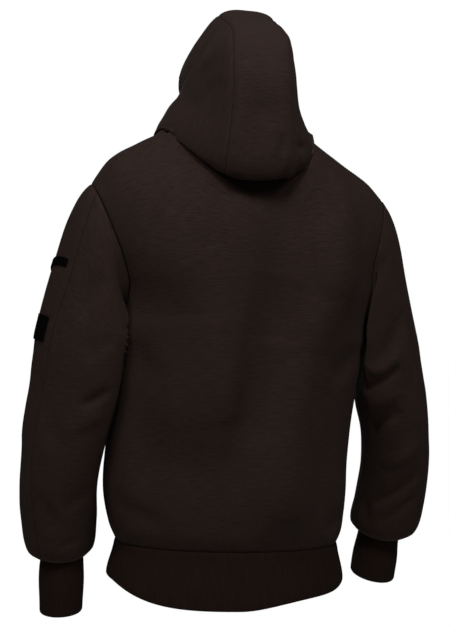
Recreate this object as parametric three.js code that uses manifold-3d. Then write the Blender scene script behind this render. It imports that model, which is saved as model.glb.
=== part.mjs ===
// A zip-up hoodie in heavy fleece, as it hangs when it is worn: hollow, hood up, sleeves down, zip closed.
// Millimetres, +Z up. The wearer faces -Y, so the wearer's left is +X. The origin is the middle of the neck,
// level with the highest point of the shoulder seams, where the wearer holds the garment up.
// Every piece of cloth is a thin wall: a grid of points on its outer face, and the same grid moved in.
import * as THREE from "three";
import Module from "manifold-3d";

// ---- Driving sizes ----
const CLOTH = 2.4; // fleece
const RIB_CLOTH = 2.8; // folded rib knit, without its ribs
const HEM_CLOTH = 3.6; // turned hem of the hood
const TAPE = 0.9; // woven zip tape
const SEAM_GAP = 0.4; // clear space where two pieces are sewn
const ARMHOLE_GAP = 0.5; // the same at the armholes
const CURVED_GAP = 0.7; // and where flat facets cut a curve short, at the neck
const SHOULDER_REACH = 232; // middle to the armhole seam, on the shoulder
const SHOULDER_RIDGE_Y = -12; // the top line of the shoulders
const NECK = { half: 98, widestY: 12, back: 56, front: 124 };
const SHOULDER_SEAM_SET_BACK = { neck: 24, armhole: 32 };
const BAND_TOP_Z = -638;
// Height of the rib band at the sides, the back and the front, and where along y each of the last two is reached;
// lift: how much shorter it hangs on the right of the back, and about which x;
// base and flare: how much wider it is than the body at its top and bottom, of its half width, about middleY.
const BAND = {
  side: 54,
  back: 84,
  front: 62,
  lift: { x: -105, over: 110, by: 12 },
  backY: 110,
  frontY: { from: -60, to: -150 },
  base: 2,
  flare: 11,
  half: 170,
  middleY: -18,
};
const UNDERARM_Z = -325;
const YOKE_Z = -200; // where the back and chest start to round over the shoulders
const ZIP_HALF_GAP = 4.4; // middle of the zip to the edge of a front
const RIBS = { waist: 112, cuff: 28, height: 0.9 };

const GARMENT = new THREE.Group();

// ---- Small helpers ----
const mix = (a, b, t) => a + (b - a) * t;
const clamp = (t, low = 0, high = 1) => Math.min(high, Math.max(low, t));
const ease = (t) => clamp(t) ** 2 * (3 - 2 * clamp(t));
const bump = (d) => (Math.abs(d) < 1 ? (1 - d * d) ** 2 : 0);
const radians = (degrees) => (degrees * Math.PI) / 180;
const degrees = (angle) => (angle * 180) / Math.PI;
const point = (x, y, z) => new THREE.Vector3(x, y, z);
// The greater of two lengths, with a soft change from one to the other.
function atLeast(least, length, soft) {
  const short = least - length;
  if (short >= soft) return least;
  return short > -soft ? length + (short + soft) ** 2 / (4 * soft) : length;
}
const steps = (from, to, count) =>
  Array.from({ length: count + 1 }, (_, i) => mix(from, to, i / count));

// Smooth curve through one named column of a table, read at a place along its `at` column.
function read(table, column, at) {
  const last = table.length - 1;
  const rising = table[last].at > table[0].at ? 1 : -1;
  let i = 0;
  while (i < last - 1 && (at - table[i + 1].at) * rising > 0) i++;
  const [a, b] = [table[i], table[i + 1]];
  const [before, after] = [table[Math.max(0, i - 1)], table[Math.min(last, i + 2)]];
  const span = b.at - a.at;
  const slope = (p, q) => (q[column] - p[column]) / (q.at - p.at);
  const [startSlope, endSlope] = [slope(before, b) * span, slope(a, after) * span];
  const t = (at - a.at) / span;
  const [t2, t3] = [t * t, t * t * t];
  return (
    (2 * t3 - 3 * t2 + 1) * a[column] +
    (t3 - 2 * t2 + t) * startSlope +
    (3 * t2 - 2 * t3) * b[column] +
    (t3 - t2) * endSlope
  );
}

// ---- Walls ----
// place(u, v) gives the outer face; u runs to the right and v up, seen from outside. reach is how far u may go
// past a piece's own edges, where the next piece carries on with the same surface.
const WITHIN = [0, 1];
const THROUGH = [-1, 2];
function normalOf(place, u, v, reach = WITHIN) {
  const d = 1e-3;
  const [v0, v1] = [Math.max(0, v - d), Math.min(1, v + d)];
  const along = place(Math.min(reach[1], u + d), v).sub(place(Math.max(reach[0], u - d), v));
  const up = place(u, v1).sub(place(u, v0));
  return along.cross(up).normalize();
}

function addSolid(name, positions, index, material) {
  const geometry = new THREE.BufferGeometry();
  geometry.setAttribute("position", new THREE.Float32BufferAttribute(positions, 3));
  geometry.setIndex(index);
  geometry.computeVertexNormals();
  const mesh = new THREE.Mesh(geometry, material);
  mesh.name = name;
  GARMENT.add(mesh);
}

// thick: wall; raise: outer points moved out; mitre: the direction of the wall at a sewn edge, or null.
// otherSplit: cuts the wall's squares along their other diagonal, to match the piece it is sewn to.
function wall({
  name,
  place,
  us,
  vs,
  material,
  thick = () => CLOTH,
  raise = () => 0,
  mitre = () => null,
  reach = WITHIN,
  closed = false,
  otherSplit = false,
}) {
  const columns = us.length;
  const rows = vs.length;
  const outer = [];
  const inner = [];
  for (const v of vs) {
    for (const u of us) {
      const normal = mitre(u, v) ?? normalOf(place, u, v, closed ? THROUGH : reach);
      const base = place(u, v);
      outer.push(base.clone().addScaledVector(normal, raise(u, v)));
      inner.push(base.clone().addScaledVector(normal, -thick(u, v)));
    }
  }
  const count = outer.length;
  const index = [];
  const quad = (a, b, c, d) => index.push(a, b, c, a, c, d);
  const spans = closed ? columns : columns - 1;
  for (let j = 0; j < rows - 1; j++) {
    for (let i = 0; i < spans; i++) {
      const [a, b] = [j * columns + i, j * columns + ((i + 1) % columns)];
      const [d, c] = [a + columns, b + columns];
      if (otherSplit) {
        quad(b, c, d, a);
        quad(count + a, count + d, count + c, count + b);
      } else {
        quad(a, b, c, d);
        quad(count + b, count + a, count + d, count + c);
      }
    }
  }
  for (let i = 0; i < spans; i++) {
    const next = (i + 1) % columns;
    const top = (rows - 1) * columns;
    quad(i, count + i, count + next, next);
    quad(top + i, top + next, count + top + next, count + top + i);
  }
  if (!closed) {
    for (let j = 0; j < rows - 1; j++) {
      const [left, right] = [j * columns, j * columns + columns - 1];
      quad(left, left + columns, count + left + columns, count + left);
      quad(right + columns, right, count + right, count + right + columns);
    }
  }
  addSolid(name, [...outer, ...inner].flatMap((p) => [p.x, p.y, p.z]), index, material);
}

// The other side of the body: x changes sign, and u runs the other way so that the wall still faces out.
const flip = (p) => point(-p.x, p.y, p.z);
const mirrored = (place) => (u, v) => flip(place(1 - u, v));

// ---- Materials ----
const cloth = (colour) => new THREE.MeshStandardMaterial({ color: colour, roughness: 1 });
const metal = (colour) => new THREE.MeshStandardMaterial({ color: colour, metalness: 1, roughness: 0.4 });
const FLEECE = cloth("#2b2422");
const RIB_KNIT = cloth("#241f1e");
const TAPE_CLOTH = cloth("#17171a");
const ZIP_METAL = metal("#6b645c");

// ---- Body ----
// Level sections of the body below the yoke. half: middle to the panel's edge. back, front: the surface on the
// middle line. backEdge, frontEdge: the panel's edge, which is the side seam up to the underarm and the armhole
// above it. turn: how far round its oval a section goes, in degrees, from the middle to that edge. shift: how
// far the middle hangs to the left.
const BODY = [
  { at: -638, half: 173, back: 108, front: -142, backEdge: -18, frontEdge: -18, turn: 90, shift: 1 },
  { at: -612, half: 183, back: 116, front: -152, backEdge: -18, frontEdge: -18, turn: 90, shift: 3 },
  { at: -560, half: 191, back: 121, front: -157, backEdge: -18, frontEdge: -18, turn: 90, shift: 6 },
  { at: -500, half: 191, back: 121, front: -157, backEdge: -18, frontEdge: -18, turn: 90, shift: 5 },
  { at: -430, half: 191, back: 121, front: -154, backEdge: -17, frontEdge: -17, turn: 90, shift: -2 },
  { at: -370, half: 197, back: 122, front: -150, backEdge: -16, frontEdge: -16, turn: 90, shift: -6 },
  { at: -325, half: 203, back: 123, front: -147, backEdge: -15, frontEdge: -15, turn: 90, shift: -7 },
  { at: -318, half: 202, back: 123, front: -146, backEdge: 2, frontEdge: -32, turn: 83, shift: -7 },
  { at: -305, half: 198, back: 124, front: -145, backEdge: 16, frontEdge: -46, turn: 77, shift: -8 },
  { at: -285, half: 192, back: 124, front: -143, backEdge: 30, frontEdge: -58, turn: 71, shift: -12 },
  { at: -250, half: 189, back: 125, front: -140, backEdge: 46, frontEdge: -71, turn: 64.5, shift: -14 },
  { at: -225, half: 192, back: 125, front: -137, backEdge: 52, frontEdge: -75, turn: 62, shift: -11 },
  { at: -200, half: 197, back: 124, front: -134, backEdge: 56, frontEdge: -78, turn: 60, shift: -7 },
];
// The ridge of the shoulder, from the middle of the neck out to the armhole, on each side.
const RIDGE = [
  { at: 0, left: 12, right: 12 },
  { at: 60, left: 10, right: 10 },
  { at: 98, left: 0, right: 0 },
  { at: 130, left: -10, right: -20 },
  { at: 165, left: -27, right: -43 },
  { at: 205, left: -53, right: -68 },
  { at: 232, left: -94, right: -94 },
];
// Soft folds that hang down the body. across: place from the right side (-1) to the left (1); lean: how far it
// moves across by its lower end; depth is out (+) or in (-).
const BODY_FOLDS = [
  { panel: "back", across: -0.25, lean: 0.3, top: -110, bottom: -600, width: 0.3, depth: -9 },
  { panel: "back", across: 0.25, lean: 0.03, top: -190, bottom: -600, width: 0.24, depth: 5 },
  { panel: "back", across: -0.62, lean: 0.06, top: -100, bottom: -420, width: 0.24, depth: 6 },
  { panel: "back", across: -0.45, lean: 0.06, top: -400, bottom: -636, width: 0.28, depth: 4 },
  { panel: "back", across: 0.76, lean: -0.06, top: -330, bottom: -636, width: 0.18, depth: -5 },
  { panel: "front", across: 0.6, lean: -0.08, top: -180, bottom: -620, width: 0.25, depth: 5 },
  { panel: "front", across: -0.62, lean: 0.1, top: -200, bottom: -636, width: 0.25, depth: 5 },
  { panel: "front", across: 0.82, lean: -0.04, top: -330, bottom: -600, width: 0.14, depth: -4 },
  { panel: "front", across: -0.84, lean: 0.03, top: -330, bottom: -560, width: 0.13, depth: -4 },
];

function foldDepth(panel, across, z) {
  let depth = 0;
  for (const fold of BODY_FOLDS.filter((f) => f.panel === panel)) {
    const down = clamp((z - fold.top) / (fold.bottom - fold.top));
    const centre = fold.across + fold.lean * down;
    depth += fold.depth * bump((across - centre) / fold.width) * bump(2 * down - 1);
  }
  return depth;
}

// A level section: across runs from -1 to 1 between the panel's two edges, as a share of its half width.
const ROUNDNESS = 0.88;
function section(panel, across, z) {
  const out = panel === "back" ? 1 : -1;
  const half = read(BODY, "half", z);
  const mid = read(BODY, panel, z);
  const edge = read(BODY, `${panel}Edge`, z) + (out * SEAM_GAP) / 2;
  const turn = radians(z <= UNDERARM_Z ? 90 : Math.min(90, read(BODY, "turn", z)));
  const angle = Math.asin(clamp(across, -1, 1) * Math.sin(turn));
  const round = Math.max(0, (Math.cos(angle) - Math.cos(turn)) / (1 - Math.cos(turn))) ** ROUNDNESS;
  const y = mix(edge, mid, round) + out * foldDepth(panel, across, z);
  const shift = read(BODY, "shift", z) * (panel === "front" ? across * across : 1);
  return point(shift + half * across, y, z);
}

// Over the shoulder: tilt 0 is the yoke line, 90 the ridge.
function shoulder(panel, across, tilt) {
  const foot = section(panel, across, YOKE_Z);
  const ridge = read(RIDGE, across > 0 ? "left" : "right", Math.abs(across) * SHOULDER_REACH);
  const [rise, run] = [Math.sin(radians(tilt)), Math.cos(radians(tilt))];
  return point(
    mix(foot.x, across * SHOULDER_REACH, rise),
    mix(SHOULDER_RIDGE_Y, foot.y, run),
    mix(YOKE_Z, ridge, rise)
  );
}

// How far over the shoulder a panel goes before its top edge: the neck hole near the middle, else the seam,
// which lies a little behind the ridge.
const NECK_ACROSS = NECK.half / SHOULDER_REACH;
const HALF_GAP_TILT = 0.12;
function tiltAt(panel, across, y) {
  const foot = section(panel, across, YOKE_Z).y;
  return degrees(Math.acos(clamp((y - SHOULDER_RIDGE_Y) / (foot - SHOULDER_RIDGE_Y), -1, 1)));
}
function topTilt(panel, across) {
  const out = Math.abs(across) / NECK_ACROSS;
  const hole = out < 1 ? (1 - out * out) ** 0.8 : 0;
  const along = clamp((Math.abs(across) - NECK_ACROSS) / (1 - NECK_ACROSS));
  const seam = SHOULDER_RIDGE_Y + mix(SHOULDER_SEAM_SET_BACK.neck, SHOULDER_SEAM_SET_BACK.armhole, along);
  if (panel === "back") {
    return tiltAt("back", across, out < 1 ? NECK.widestY + NECK.back * hole : seam) - HALF_GAP_TILT;
  }
  const y = out < 1 ? NECK.widestY - NECK.front * hole : seam;
  return (y < SHOULDER_RIDGE_Y ? tiltAt("front", across, y) : 180 - tiltAt("back", across, y)) - HALF_GAP_TILT;
}

// One panel from the band seam (v 0) by the yoke (v YOKE_V) to its top edge (v 1).
const YOKE_V = 0.7;
const heightAtV = (v) => mix(BAND_TOP_Z + SEAM_GAP / 2, YOKE_Z, v / YOKE_V);
const vAtHeight = (z) => (YOKE_V * (z - BAND_TOP_Z - SEAM_GAP / 2)) / (YOKE_Z - BAND_TOP_Z - SEAM_GAP / 2);
function bodyPoint(panel, across, v) {
  if (v <= YOKE_V) return section(panel, across, heightAtV(v));
  const tilt = (topTilt(panel, across) * (v - YOKE_V)) / (1 - YOKE_V);
  return tilt <= 90 ? shoulder(panel, across, tilt) : shoulder("back", across, 180 - tilt);
}

const UNDERARM_V = vAtHeight(UNDERARM_Z);
const BODY_ROWS = [
  0,
  ...[-624, -606, -580, -545, -505, -460, -415, -370].map(vAtHeight),
  ...[UNDERARM_Z, -317, -305, -285, -250].map(vAtHeight),
  ...steps(YOKE_V, 1, 7),
];

// Where a point lies across its front, at a set distance to the left of the body's middle line.
function acrossAtX(x, v) {
  const foot = bodyPoint("front", 0, v).x;
  let [low, high] = [0, 0.5];
  for (let i = 0; i < 40; i++) {
    const middle = (low + high) / 2;
    if (bodyPoint("front", middle, v).x - foot < x) low = middle;
    else high = middle;
  }
  return low;
}

// Columns: some between the middle and the corner where the neck meets the shoulder seam, some from there out.
const NECK_COLUMNS = 6;
const SHOULDER_COLUMNS = 7;
const CORNER_U = NECK_COLUMNS / (NECK_COLUMNS + SHOULDER_COLUMNS);
const CORNER_ANGLE = Math.asin(NECK_ACROSS);
function acrossAt(start, u) {
  if (u <= CORNER_U) return mix(start, NECK_ACROSS, Math.sin(((u / CORNER_U) * Math.PI) / 2));
  return Math.sin(mix(CORNER_ANGLE, Math.PI / 2, (u - CORNER_U) / (1 - CORNER_U)));
}
const HALF_US = steps(0, 1, NECK_COLUMNS + SHOULDER_COLUMNS);
const frontLeftPlace = (u, v) => bodyPoint("front", acrossAt(acrossAtX(ZIP_HALF_GAP, v), u), v);
const frontRightPlace = (u, v) => bodyPoint("front", -acrossAt(acrossAtX(ZIP_HALF_GAP, v), 1 - u), v);
const backPlace = (u, v) => bodyPoint("back", Math.sign(1 - 2 * u) * acrossAt(0, Math.abs(1 - 2 * u)), v);
const BACK_US = steps(0, 1, 2 * (NECK_COLUMNS + SHOULDER_COLUMNS));

// The side of the body as it faces a sleeve, on the left (side 1) or right (-1): how far out its cloth reaches.
function sideReach(side, y, z) {
  const level = Math.max(z, BAND_TOP_Z);
  const [back, front] = [read(BODY, "backEdge", level), read(BODY, "frontEdge", level)];
  const [half, shift] = [read(BODY, "half", level), side * read(BODY, "shift", level)];
  if (y <= back && y >= front) return half + shift;
  const [edge, mid] = y > back ? [back, read(BODY, "back", level)] : [front, read(BODY, "front", level)];
  const turn = radians(level <= UNDERARM_Z ? 90 : Math.min(90, read(BODY, "turn", level)));
  const round = clamp((y - edge) / (mid - edge)) ** (1 / ROUNDNESS);
  const cosine = mix(Math.cos(turn), 1, round);
  const across = Math.sqrt(1 - cosine * cosine) / Math.sin(turn);
  return half * across + shift * (y > back ? 1 : across * across);
}

// The shoulders as they face the hood: the height of their cloth at a place on the left.
function shoulderHeight(x, y) {
  const panel = y > SHOULDER_RIDGE_Y ? "back" : "front";
  const foot = read(BODY, "half", YOKE_Z);
  let rise = 1;
  let across = 0;
  for (let i = 0; i < 3; i++) {
    across = clamp(Math.abs(x) / mix(foot, SHOULDER_REACH, rise));
    const run = (y - SHOULDER_RIDGE_Y) / (section(panel, across, YOKE_Z).y - SHOULDER_RIDGE_Y);
    rise = Math.sqrt(Math.max(0, 1 - run * run));
  }
  return mix(YOKE_Z, read(RIDGE, "left", across * SHOULDER_REACH), rise);
}

// ---- Sleeves ----
// Rings down the arm, on the left: at 0 is the armhole, 1 the cuff seam. pitch turns a ring from upright (0) to
// level (90), lean tips it forward, turn twists it; out and deep are its half widths; join ties it to the armhole.
const LEFT_ARM = [
  { at: 0, x: 234, y: -10, z: -208, pitch: 0, lean: 0, turn: 0, out: 114, deep: 68, join: 1 },
  { at: 0.1, x: 224, y: -8, z: -240, pitch: 28, lean: 0, turn: 6, out: 104, deep: 68, join: 0.5 },
  { at: 0.22, x: 218, y: -5, z: -288, pitch: 52, lean: 0, turn: 18, out: 94, deep: 65, join: 0.1 },
  { at: 0.36, x: 236, y: -1, z: -348, pitch: 74, lean: 0, turn: 32, out: 82, deep: 57, join: 0 },
  { at: 0.5, x: 246, y: -4, z: -408, pitch: 83, lean: 3, turn: 38, out: 77, deep: 52, join: 0 },
  { at: 0.64, x: 257, y: -10, z: -472, pitch: 87, lean: 6, turn: 34, out: 70, deep: 52, join: 0 },
  { at: 0.78, x: 263, y: -22, z: -543, pitch: 90, lean: 10, turn: 22, out: 62, deep: 54, join: 0 },
  { at: 0.9, x: 261, y: -35, z: -608, pitch: 93, lean: 10, turn: 10, out: 58, deep: 52, join: 0 },
  { at: 0.97, x: 257, y: -43, z: -653, pitch: 95, lean: 8, turn: 4, out: 51, deep: 48, join: 0 },
  { at: 1, x: 254, y: -46, z: -668, pitch: 95, lean: 6, turn: 0, out: 34, deep: 38, join: 0 },
];
const RIGHT_ARM = [
  { at: 0, x: 234, y: -10, z: -208, pitch: 0, lean: 0, turn: 0, out: 114, deep: 68, join: 1 },
  { at: 0.1, x: 220, y: -8, z: -244, pitch: 30, lean: 0, turn: 6, out: 103, deep: 66, join: 0.45 },
  { at: 0.22, x: 217, y: -6, z: -290, pitch: 52, lean: 0, turn: 14, out: 88, deep: 62, join: 0.1 },
  { at: 0.36, x: 237, y: -6, z: -346, pitch: 74, lean: 0, turn: 26, out: 76, deep: 57, join: 0 },
  { at: 0.5, x: 257, y: -10, z: -400, pitch: 82, lean: 4, turn: 28, out: 66, deep: 53, join: 0 },
  { at: 0.64, x: 272, y: -20, z: -456, pitch: 87, lean: 12, turn: 22, out: 57, deep: 53, join: 0 },
  { at: 0.78, x: 281, y: -38, z: -520, pitch: 90, lean: 18, turn: 12, out: 56, deep: 54, join: 0 },
  { at: 0.9, x: 280, y: -56, z: -582, pitch: 93, lean: 18, turn: 6, out: 58, deep: 53, join: 0 },
  { at: 0.97, x: 274, y: -68, z: -622, pitch: 95, lean: 16, turn: 4, out: 54, deep: 50, join: 0 },
  { at: 1, x: 270, y: -74, z: -637, pitch: 95, lean: 14, turn: 0, out: 34, deep: 38, join: 0 },
];
const SEAM_ROUND = [
  { at: 0, round: 30 },
  { at: 0.12, round: 50 },
  { at: 0.2, round: 57 },
  { at: 0.38, round: 67 },
  { at: 0.55, round: 69 },
  { at: 0.7, round: 62 },
  { at: 1, round: 52 },
];

const SEAM_TOP = SEAM_ROUND[0].round;
const SLEEVE_CLEAR = 6; // sleeve to the side of the body
const SLEEVE_SOFT = 14; // how softly it meets that clear space

// The armhole of one side, as if on the left: round is in degrees, 0 outermost, through the back to 180 at the
// underarm.
function armhole(side, round) {
  const turned = round > 360 + SEAM_TOP ? round - 360 : round;
  const front = turned > 180;
  const share = front ? (turned - 180) / (180 + SEAM_TOP) : (180 - turned) / (180 - SEAM_TOP);
  const edge = bodyPoint(front ? "front" : "back", side, mix(UNDERARM_V, 1, share));
  return side > 0 ? edge : flip(edge);
}
function armRing({ table, side }, round, v) {
  const at = (column) => read(table, column, v);
  const [pitch, lean, turn] = [radians(at("pitch")), radians(at("lean")), radians(at("turn"))];
  const along = point(Math.cos(pitch), -Math.sin(pitch) * Math.sin(lean), -Math.sin(pitch) * Math.cos(lean));
  const back = point(0, Math.cos(lean), -Math.sin(lean));
  const outward = along.clone().cross(back);
  const angle = radians(round);
  const [a, b] = [at("out") * Math.cos(angle), at("deep") * Math.sin(angle)];
  const oval = point(at("x"), at("y"), at("z"))
    .addScaledVector(outward, a * Math.cos(turn) + b * Math.sin(turn))
    .addScaledVector(back, b * Math.cos(turn) - a * Math.sin(turn));
  const join = clamp(at("join"));
  const p = oval.lerp(armhole(side, round).add(point(ARMHOLE_GAP, 0, 0)), join);
  const least = sideReach(side, p.y, p.z) + ARMHOLE_GAP + SLEEVE_CLEAR * (1 - join);
  p.x = atLeast(least, p.x, SLEEVE_SOFT * (1 - join));
  return p;
}
const SEAM_INSET = 0.42; // degrees
const underPlace = (arm) => (u, v) =>
  armRing(arm, mix(180 - SEAM_INSET, read(SEAM_ROUND, "round", v) + SEAM_INSET, u), v);
const upperPlace = (arm) => (u, v) =>
  armRing(arm, mix(360 - SEAM_INSET + read(SEAM_ROUND, "round", v), 180 + SEAM_INSET, u), v);

// Where the body and a sleeve are sewn, both walls end on one mitre.
const ARMHOLE_SHARES = BODY_ROWS.filter((v) => v >= UNDERARM_V - 1e-9).map((v) =>
  clamp((v - UNDERARM_V) / (1 - UNDERARM_V))
);
function armholeMitre(arm, front, share) {
  const v = mix(UNDERARM_V, 1, share);
  const body = {
    backLeft: () => normalOf(backPlace, 0, v),
    frontLeft: () => normalOf(frontLeftPlace, 1, v),
    backRight: () => flip(normalOf(backPlace, 1, v)),
    frontRight: () => flip(normalOf(frontRightPlace, 0, v)),
  }[(front ? "front" : "back") + (arm.side > 0 ? "Left" : "Right")]();
  const sleeve = front
    ? normalOf(upperPlace(arm), 1 - share, 0, THROUGH)
    : normalOf(underPlace(arm), share, 0, THROUGH);
  return body.add(sleeve).normalize();
}
// At the underarm and at the shoulder seam four pieces meet, so they share one mitre.
const ARMHOLE_MITRES = new Map();
function sharedMitre(arm, front, share) {
  const key = [arm.side, share > 0.999 || share < 0.001 ? "both" : front, share.toFixed(4)].join();
  if (!ARMHOLE_MITRES.has(key)) {
    const corner = share > 0.999 || share < 0.001;
    const mitre = armholeMitre(arm, front, share);
    if (corner) mitre.add(armholeMitre(arm, !front, share));
    if (share < 0.001) mitre.y = 0;
    ARMHOLE_MITRES.set(key, mitre.normalize());
  }
  return ARMHOLE_MITRES.get(key).clone();
}

// Along a sleeve's own two seams, both panels end on one line across the wall.
function sleeveSeamNormal(arm, underarm, v) {
  const upper = normalOf(upperPlace(arm), underarm ? 1 : 0, v);
  return upper.add(normalOf(underPlace(arm), underarm ? 0 : 1, v)).normalize();
}

// ---- Cuffs and waistband ----
// Rib rises on every other column, so that the ribs stand on a plain inside.
const rib = (ribs) => (u) => (Math.round(u * ribs * 2) % 2 ? RIBS.height : 0);
const ARMS = {
  left: { side: 1, table: LEFT_ARM, cuff: { drop: 84, x: 5, y: 2, spread: 0 } },
  right: { side: -1, table: RIGHT_ARM, cuff: { drop: 70, x: 1, y: 5, spread: 3 } },
};
const cuffPlace = ({ table, cuff }) => (u, v) => {
  const end = table[table.length - 1];
  const [pitch, lean] = [radians(end.pitch), radians(end.lean)];
  const along = point(Math.cos(pitch), -Math.sin(pitch) * Math.sin(lean), -Math.sin(pitch) * Math.cos(lean));
  const back = point(0, Math.cos(lean), -Math.sin(lean));
  const outward = along.clone().cross(back);
  const angle = -2 * Math.PI * u;
  const swell = -1 + cuff.spread * v + 1.5 * bump(2 * v - 1);
  return point(end.x + cuff.x * v, end.y + cuff.y * v, end.z)
    .addScaledVector(along, SEAM_GAP + cuff.drop * v)
    .addScaledVector(outward, (end.out + swell) * Math.cos(angle))
    .addScaledVector(back, (end.deep + swell) * Math.sin(angle));
};

// The band follows the body's lower edge and spreads a little; u runs from the zip round the left side and back.
function bandTop(u) {
  const t = 2 - 4 * Math.abs(u - 0.5);
  const start = acrossAtX(ZIP_HALF_GAP, 0);
  const side = u < 0.5 ? 1 : -1;
  const [panel, angle] = t < 1 ? ["front", mix(Math.asin(start), Math.PI / 2, t)] : ["back", ((2 - t) * Math.PI) / 2];
  return section(panel, side * Math.sin(angle), BAND_TOP_Z + SEAM_GAP / 2);
}

// ---- Hood ----
// Arches from the neck seam (at 0) back and up over the crown to the edge round the face (at 1). Each goes from
// the gusset's middle (top) by its seam, the back corner (side) and the cheek to the end at the zip.
const HOOD = [
  { at: 0, top: [0, 68, -24], seam: [49, 58, -18], side: [98, 10, 0], cheek: [66, -74, -44], end: [5, -112, -78] },
  { at: 0.08, top: [0, 104, -60], seam: [50, 94, -52], side: [106, 36, -14], cheek: [98, -62, -24], end: [7, -116, -71] },
  { at: 0.14, top: [0, 127, -92], seam: [51, 115, -83], side: [110, 52, -31], cheek: [116, -60, -27], end: [8, -118, -64] },
  { at: 0.2, top: [0, 141, -70], seam: [52, 129, -62], side: [106, 58, -14], cheek: [125, -58, -12], end: [9, -119, -56] },
  { at: 0.34, top: [0, 138, 4], seam: [47, 132, 6], side: [84, 58, 32], cheek: [112, -54, 26], end: [11, -120, -48] },
  { at: 0.52, top: [0, 133, 72], seam: [45, 126, 73], side: [74, 56, 68], cheek: [98, -50, 42], end: [14, -121, -38] },
  { at: 0.7, top: [0, 104, 128], seam: [44, 97, 125], side: [71, 38, 96], cheek: [90, -44, 58], end: [18, -122, -28] },
  { at: 0.84, top: [0, 52, 161], seam: [43, 46, 155], side: [72, 6, 110], cheek: [87, -48, 68], end: [21, -123, -19] },
  { at: 0.93, top: [0, -6, 184], seam: [43, -6, 174], side: [76, -24, 126], cheek: [86, -60, 66], end: [24, -124, -11] },
  { at: 1, top: [0, -34, 198], seam: [45, -32, 187], side: [78, -48, 134], cheek: [86, -82, 68], end: [26, -125, -4] },
];
const CROWN_LEAN = { from: 90, to: 180, x: -8 }; // the top of the hood leans to the right
const HOOD_TUCK = { x: 22, from: 0.06, to: 0.17 }; // the right side lies closer in, from one place up to the other
const HOOD_CLEAR = 4; // hood to the shoulders
const HOOD_SOFT = 3; // how softly it meets that clear space
const HOOD_STOPS = ["top", "seam", "side", "cheek", "end"];
const GUSSET_ROUND = 1 / (HOOD_STOPS.length - 1);

// The neck edge of the body, as if on the left: round is 0 at the back, 1 at the edge of the zip. The gusset's
// seams meet it at the second column of the back.
const GUSSET_COLUMNS = 2;
const GUSSET_PACE = (8 * GUSSET_COLUMNS) / NECK_COLUMNS / 3 - 1 / 3;
const neckShare = (t) => t * mix(t * t, 1, GUSSET_PACE);
function neckEdge(side, round) {
  const t = clamp(round) * 2;
  const [panel, across] =
    t <= 1
      ? ["back", acrossAt(0, neckShare(t) * CORNER_U)]
      : ["front", acrossAt(acrossAtX(ZIP_HALF_GAP, 1), (2 - t) * CORNER_U)];
  const edge = bodyPoint(panel, side * across, 1);
  return side > 0 ? edge : flip(edge);
}
function roundOfColumn(column) {
  let [low, high] = [0, 1];
  for (let i = 0; i < 40; i++) {
    const middle = (low + high) / 2;
    if (neckShare(middle) * NECK_COLUMNS < column) low = middle;
    else high = middle;
  }
  return low / 2;
}
const NECK_ROUNDS = [
  ...steps(0, NECK_COLUMNS, NECK_COLUMNS).map(roundOfColumn),
  ...steps(0.5, 1, NECK_COLUMNS).slice(1),
];

function hoodPoint(round, at) {
  const size = Math.abs(round) * (HOOD_STOPS.length - 1);
  const stop = Math.min(HOOD_STOPS.length - 2, Math.floor(size));
  const t = size - stop;
  const along = (k) => {
    const mirror = k < 0 ? -1 : 1;
    const name = HOOD_STOPS[Math.min(HOOD_STOPS.length - 1, Math.abs(k))];
    const column = (i) => HOOD.map((row) => ({ at: row.at, value: row[name][i] }));
    return [0, 1, 2].map((i) => read(column(i), "value", at) * (i === 0 ? mirror : 1));
  };
  const [p0, p1, p2, p3] = [along(stop - 1), along(stop), along(stop + 1), along(stop + 2)];
  const blend = [0, 1, 2].map((i) => {
    const end = stop + 2 > HOOD_STOPS.length - 1;
    const m1 = (p2[i] - p0[i]) / 2;
    const m2 = end ? p2[i] - p1[i] : (p3[i] - p1[i]) / 2;
    const [t2, t3] = [t * t, t * t * t];
    return (2 * t3 - 3 * t2 + 1) * p1[i] + (t3 - 2 * t2 + t) * m1 + (3 * t2 - 2 * t3) * p2[i] + (t3 - t2) * m2;
  });
  const free = point(...blend);
  if (round < 0) {
    const tuck = ease((at - HOOD_TUCK.from) / (HOOD_TUCK.to - HOOD_TUCK.from));
    free.x -= HOOD_TUCK.x * tuck * ease((size - 1) / 2) * (1 - ease(size - 3));
  }
  const tie = 1 - ease(at / HOOD[2].at);
  if (tie > 0) free.lerp(neckEdge(round < 0 ? -1 : 1, Math.abs(round)).add(point(0, 0, CURVED_GAP)), tie);
  const clear = CURVED_GAP + HOOD_CLEAR * (1 - tie);
  if (tie < 0.999) free.z = atLeast(shoulderHeight(free.x, free.y) + clear, free.z, HOOD_SOFT * (1 - tie));
  const p = round < 0 ? flip(free) : free;
  p.x += CROWN_LEAN.x * ease((p.z - CROWN_LEAN.from) / (CROWN_LEAN.to - CROWN_LEAN.from));
  return p;
}
const GUSSET_INSET = 0.002;
const roundOfU = (u) => mix(1, GUSSET_ROUND + GUSSET_INSET, u);
const hoodLeftPlace = (u, v) => hoodPoint(roundOfU(u), v);
const hoodRightPlace = (u, v) => hoodPoint(-roundOfU(1 - u), v);
const GUSSET_EDGE = GUSSET_ROUND - GUSSET_INSET;
const gussetPlace = (u, v) => hoodPoint(mix(GUSSET_EDGE, -GUSSET_EDGE, u), v);
const SIDE_US = NECK_ROUNDS.slice(GUSSET_COLUMNS).reverse().map((round) => clamp((1 - round) / (1 - GUSSET_ROUND)));
const GUSSET_US = [
  ...NECK_ROUNDS.slice(0, GUSSET_COLUMNS + 1).reverse().map((round) => (1 - round / GUSSET_ROUND) / 2),
  ...NECK_ROUNDS.slice(1, GUSSET_COLUMNS + 1).map((round) => (1 + round / GUSSET_ROUND) / 2),
];

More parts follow.
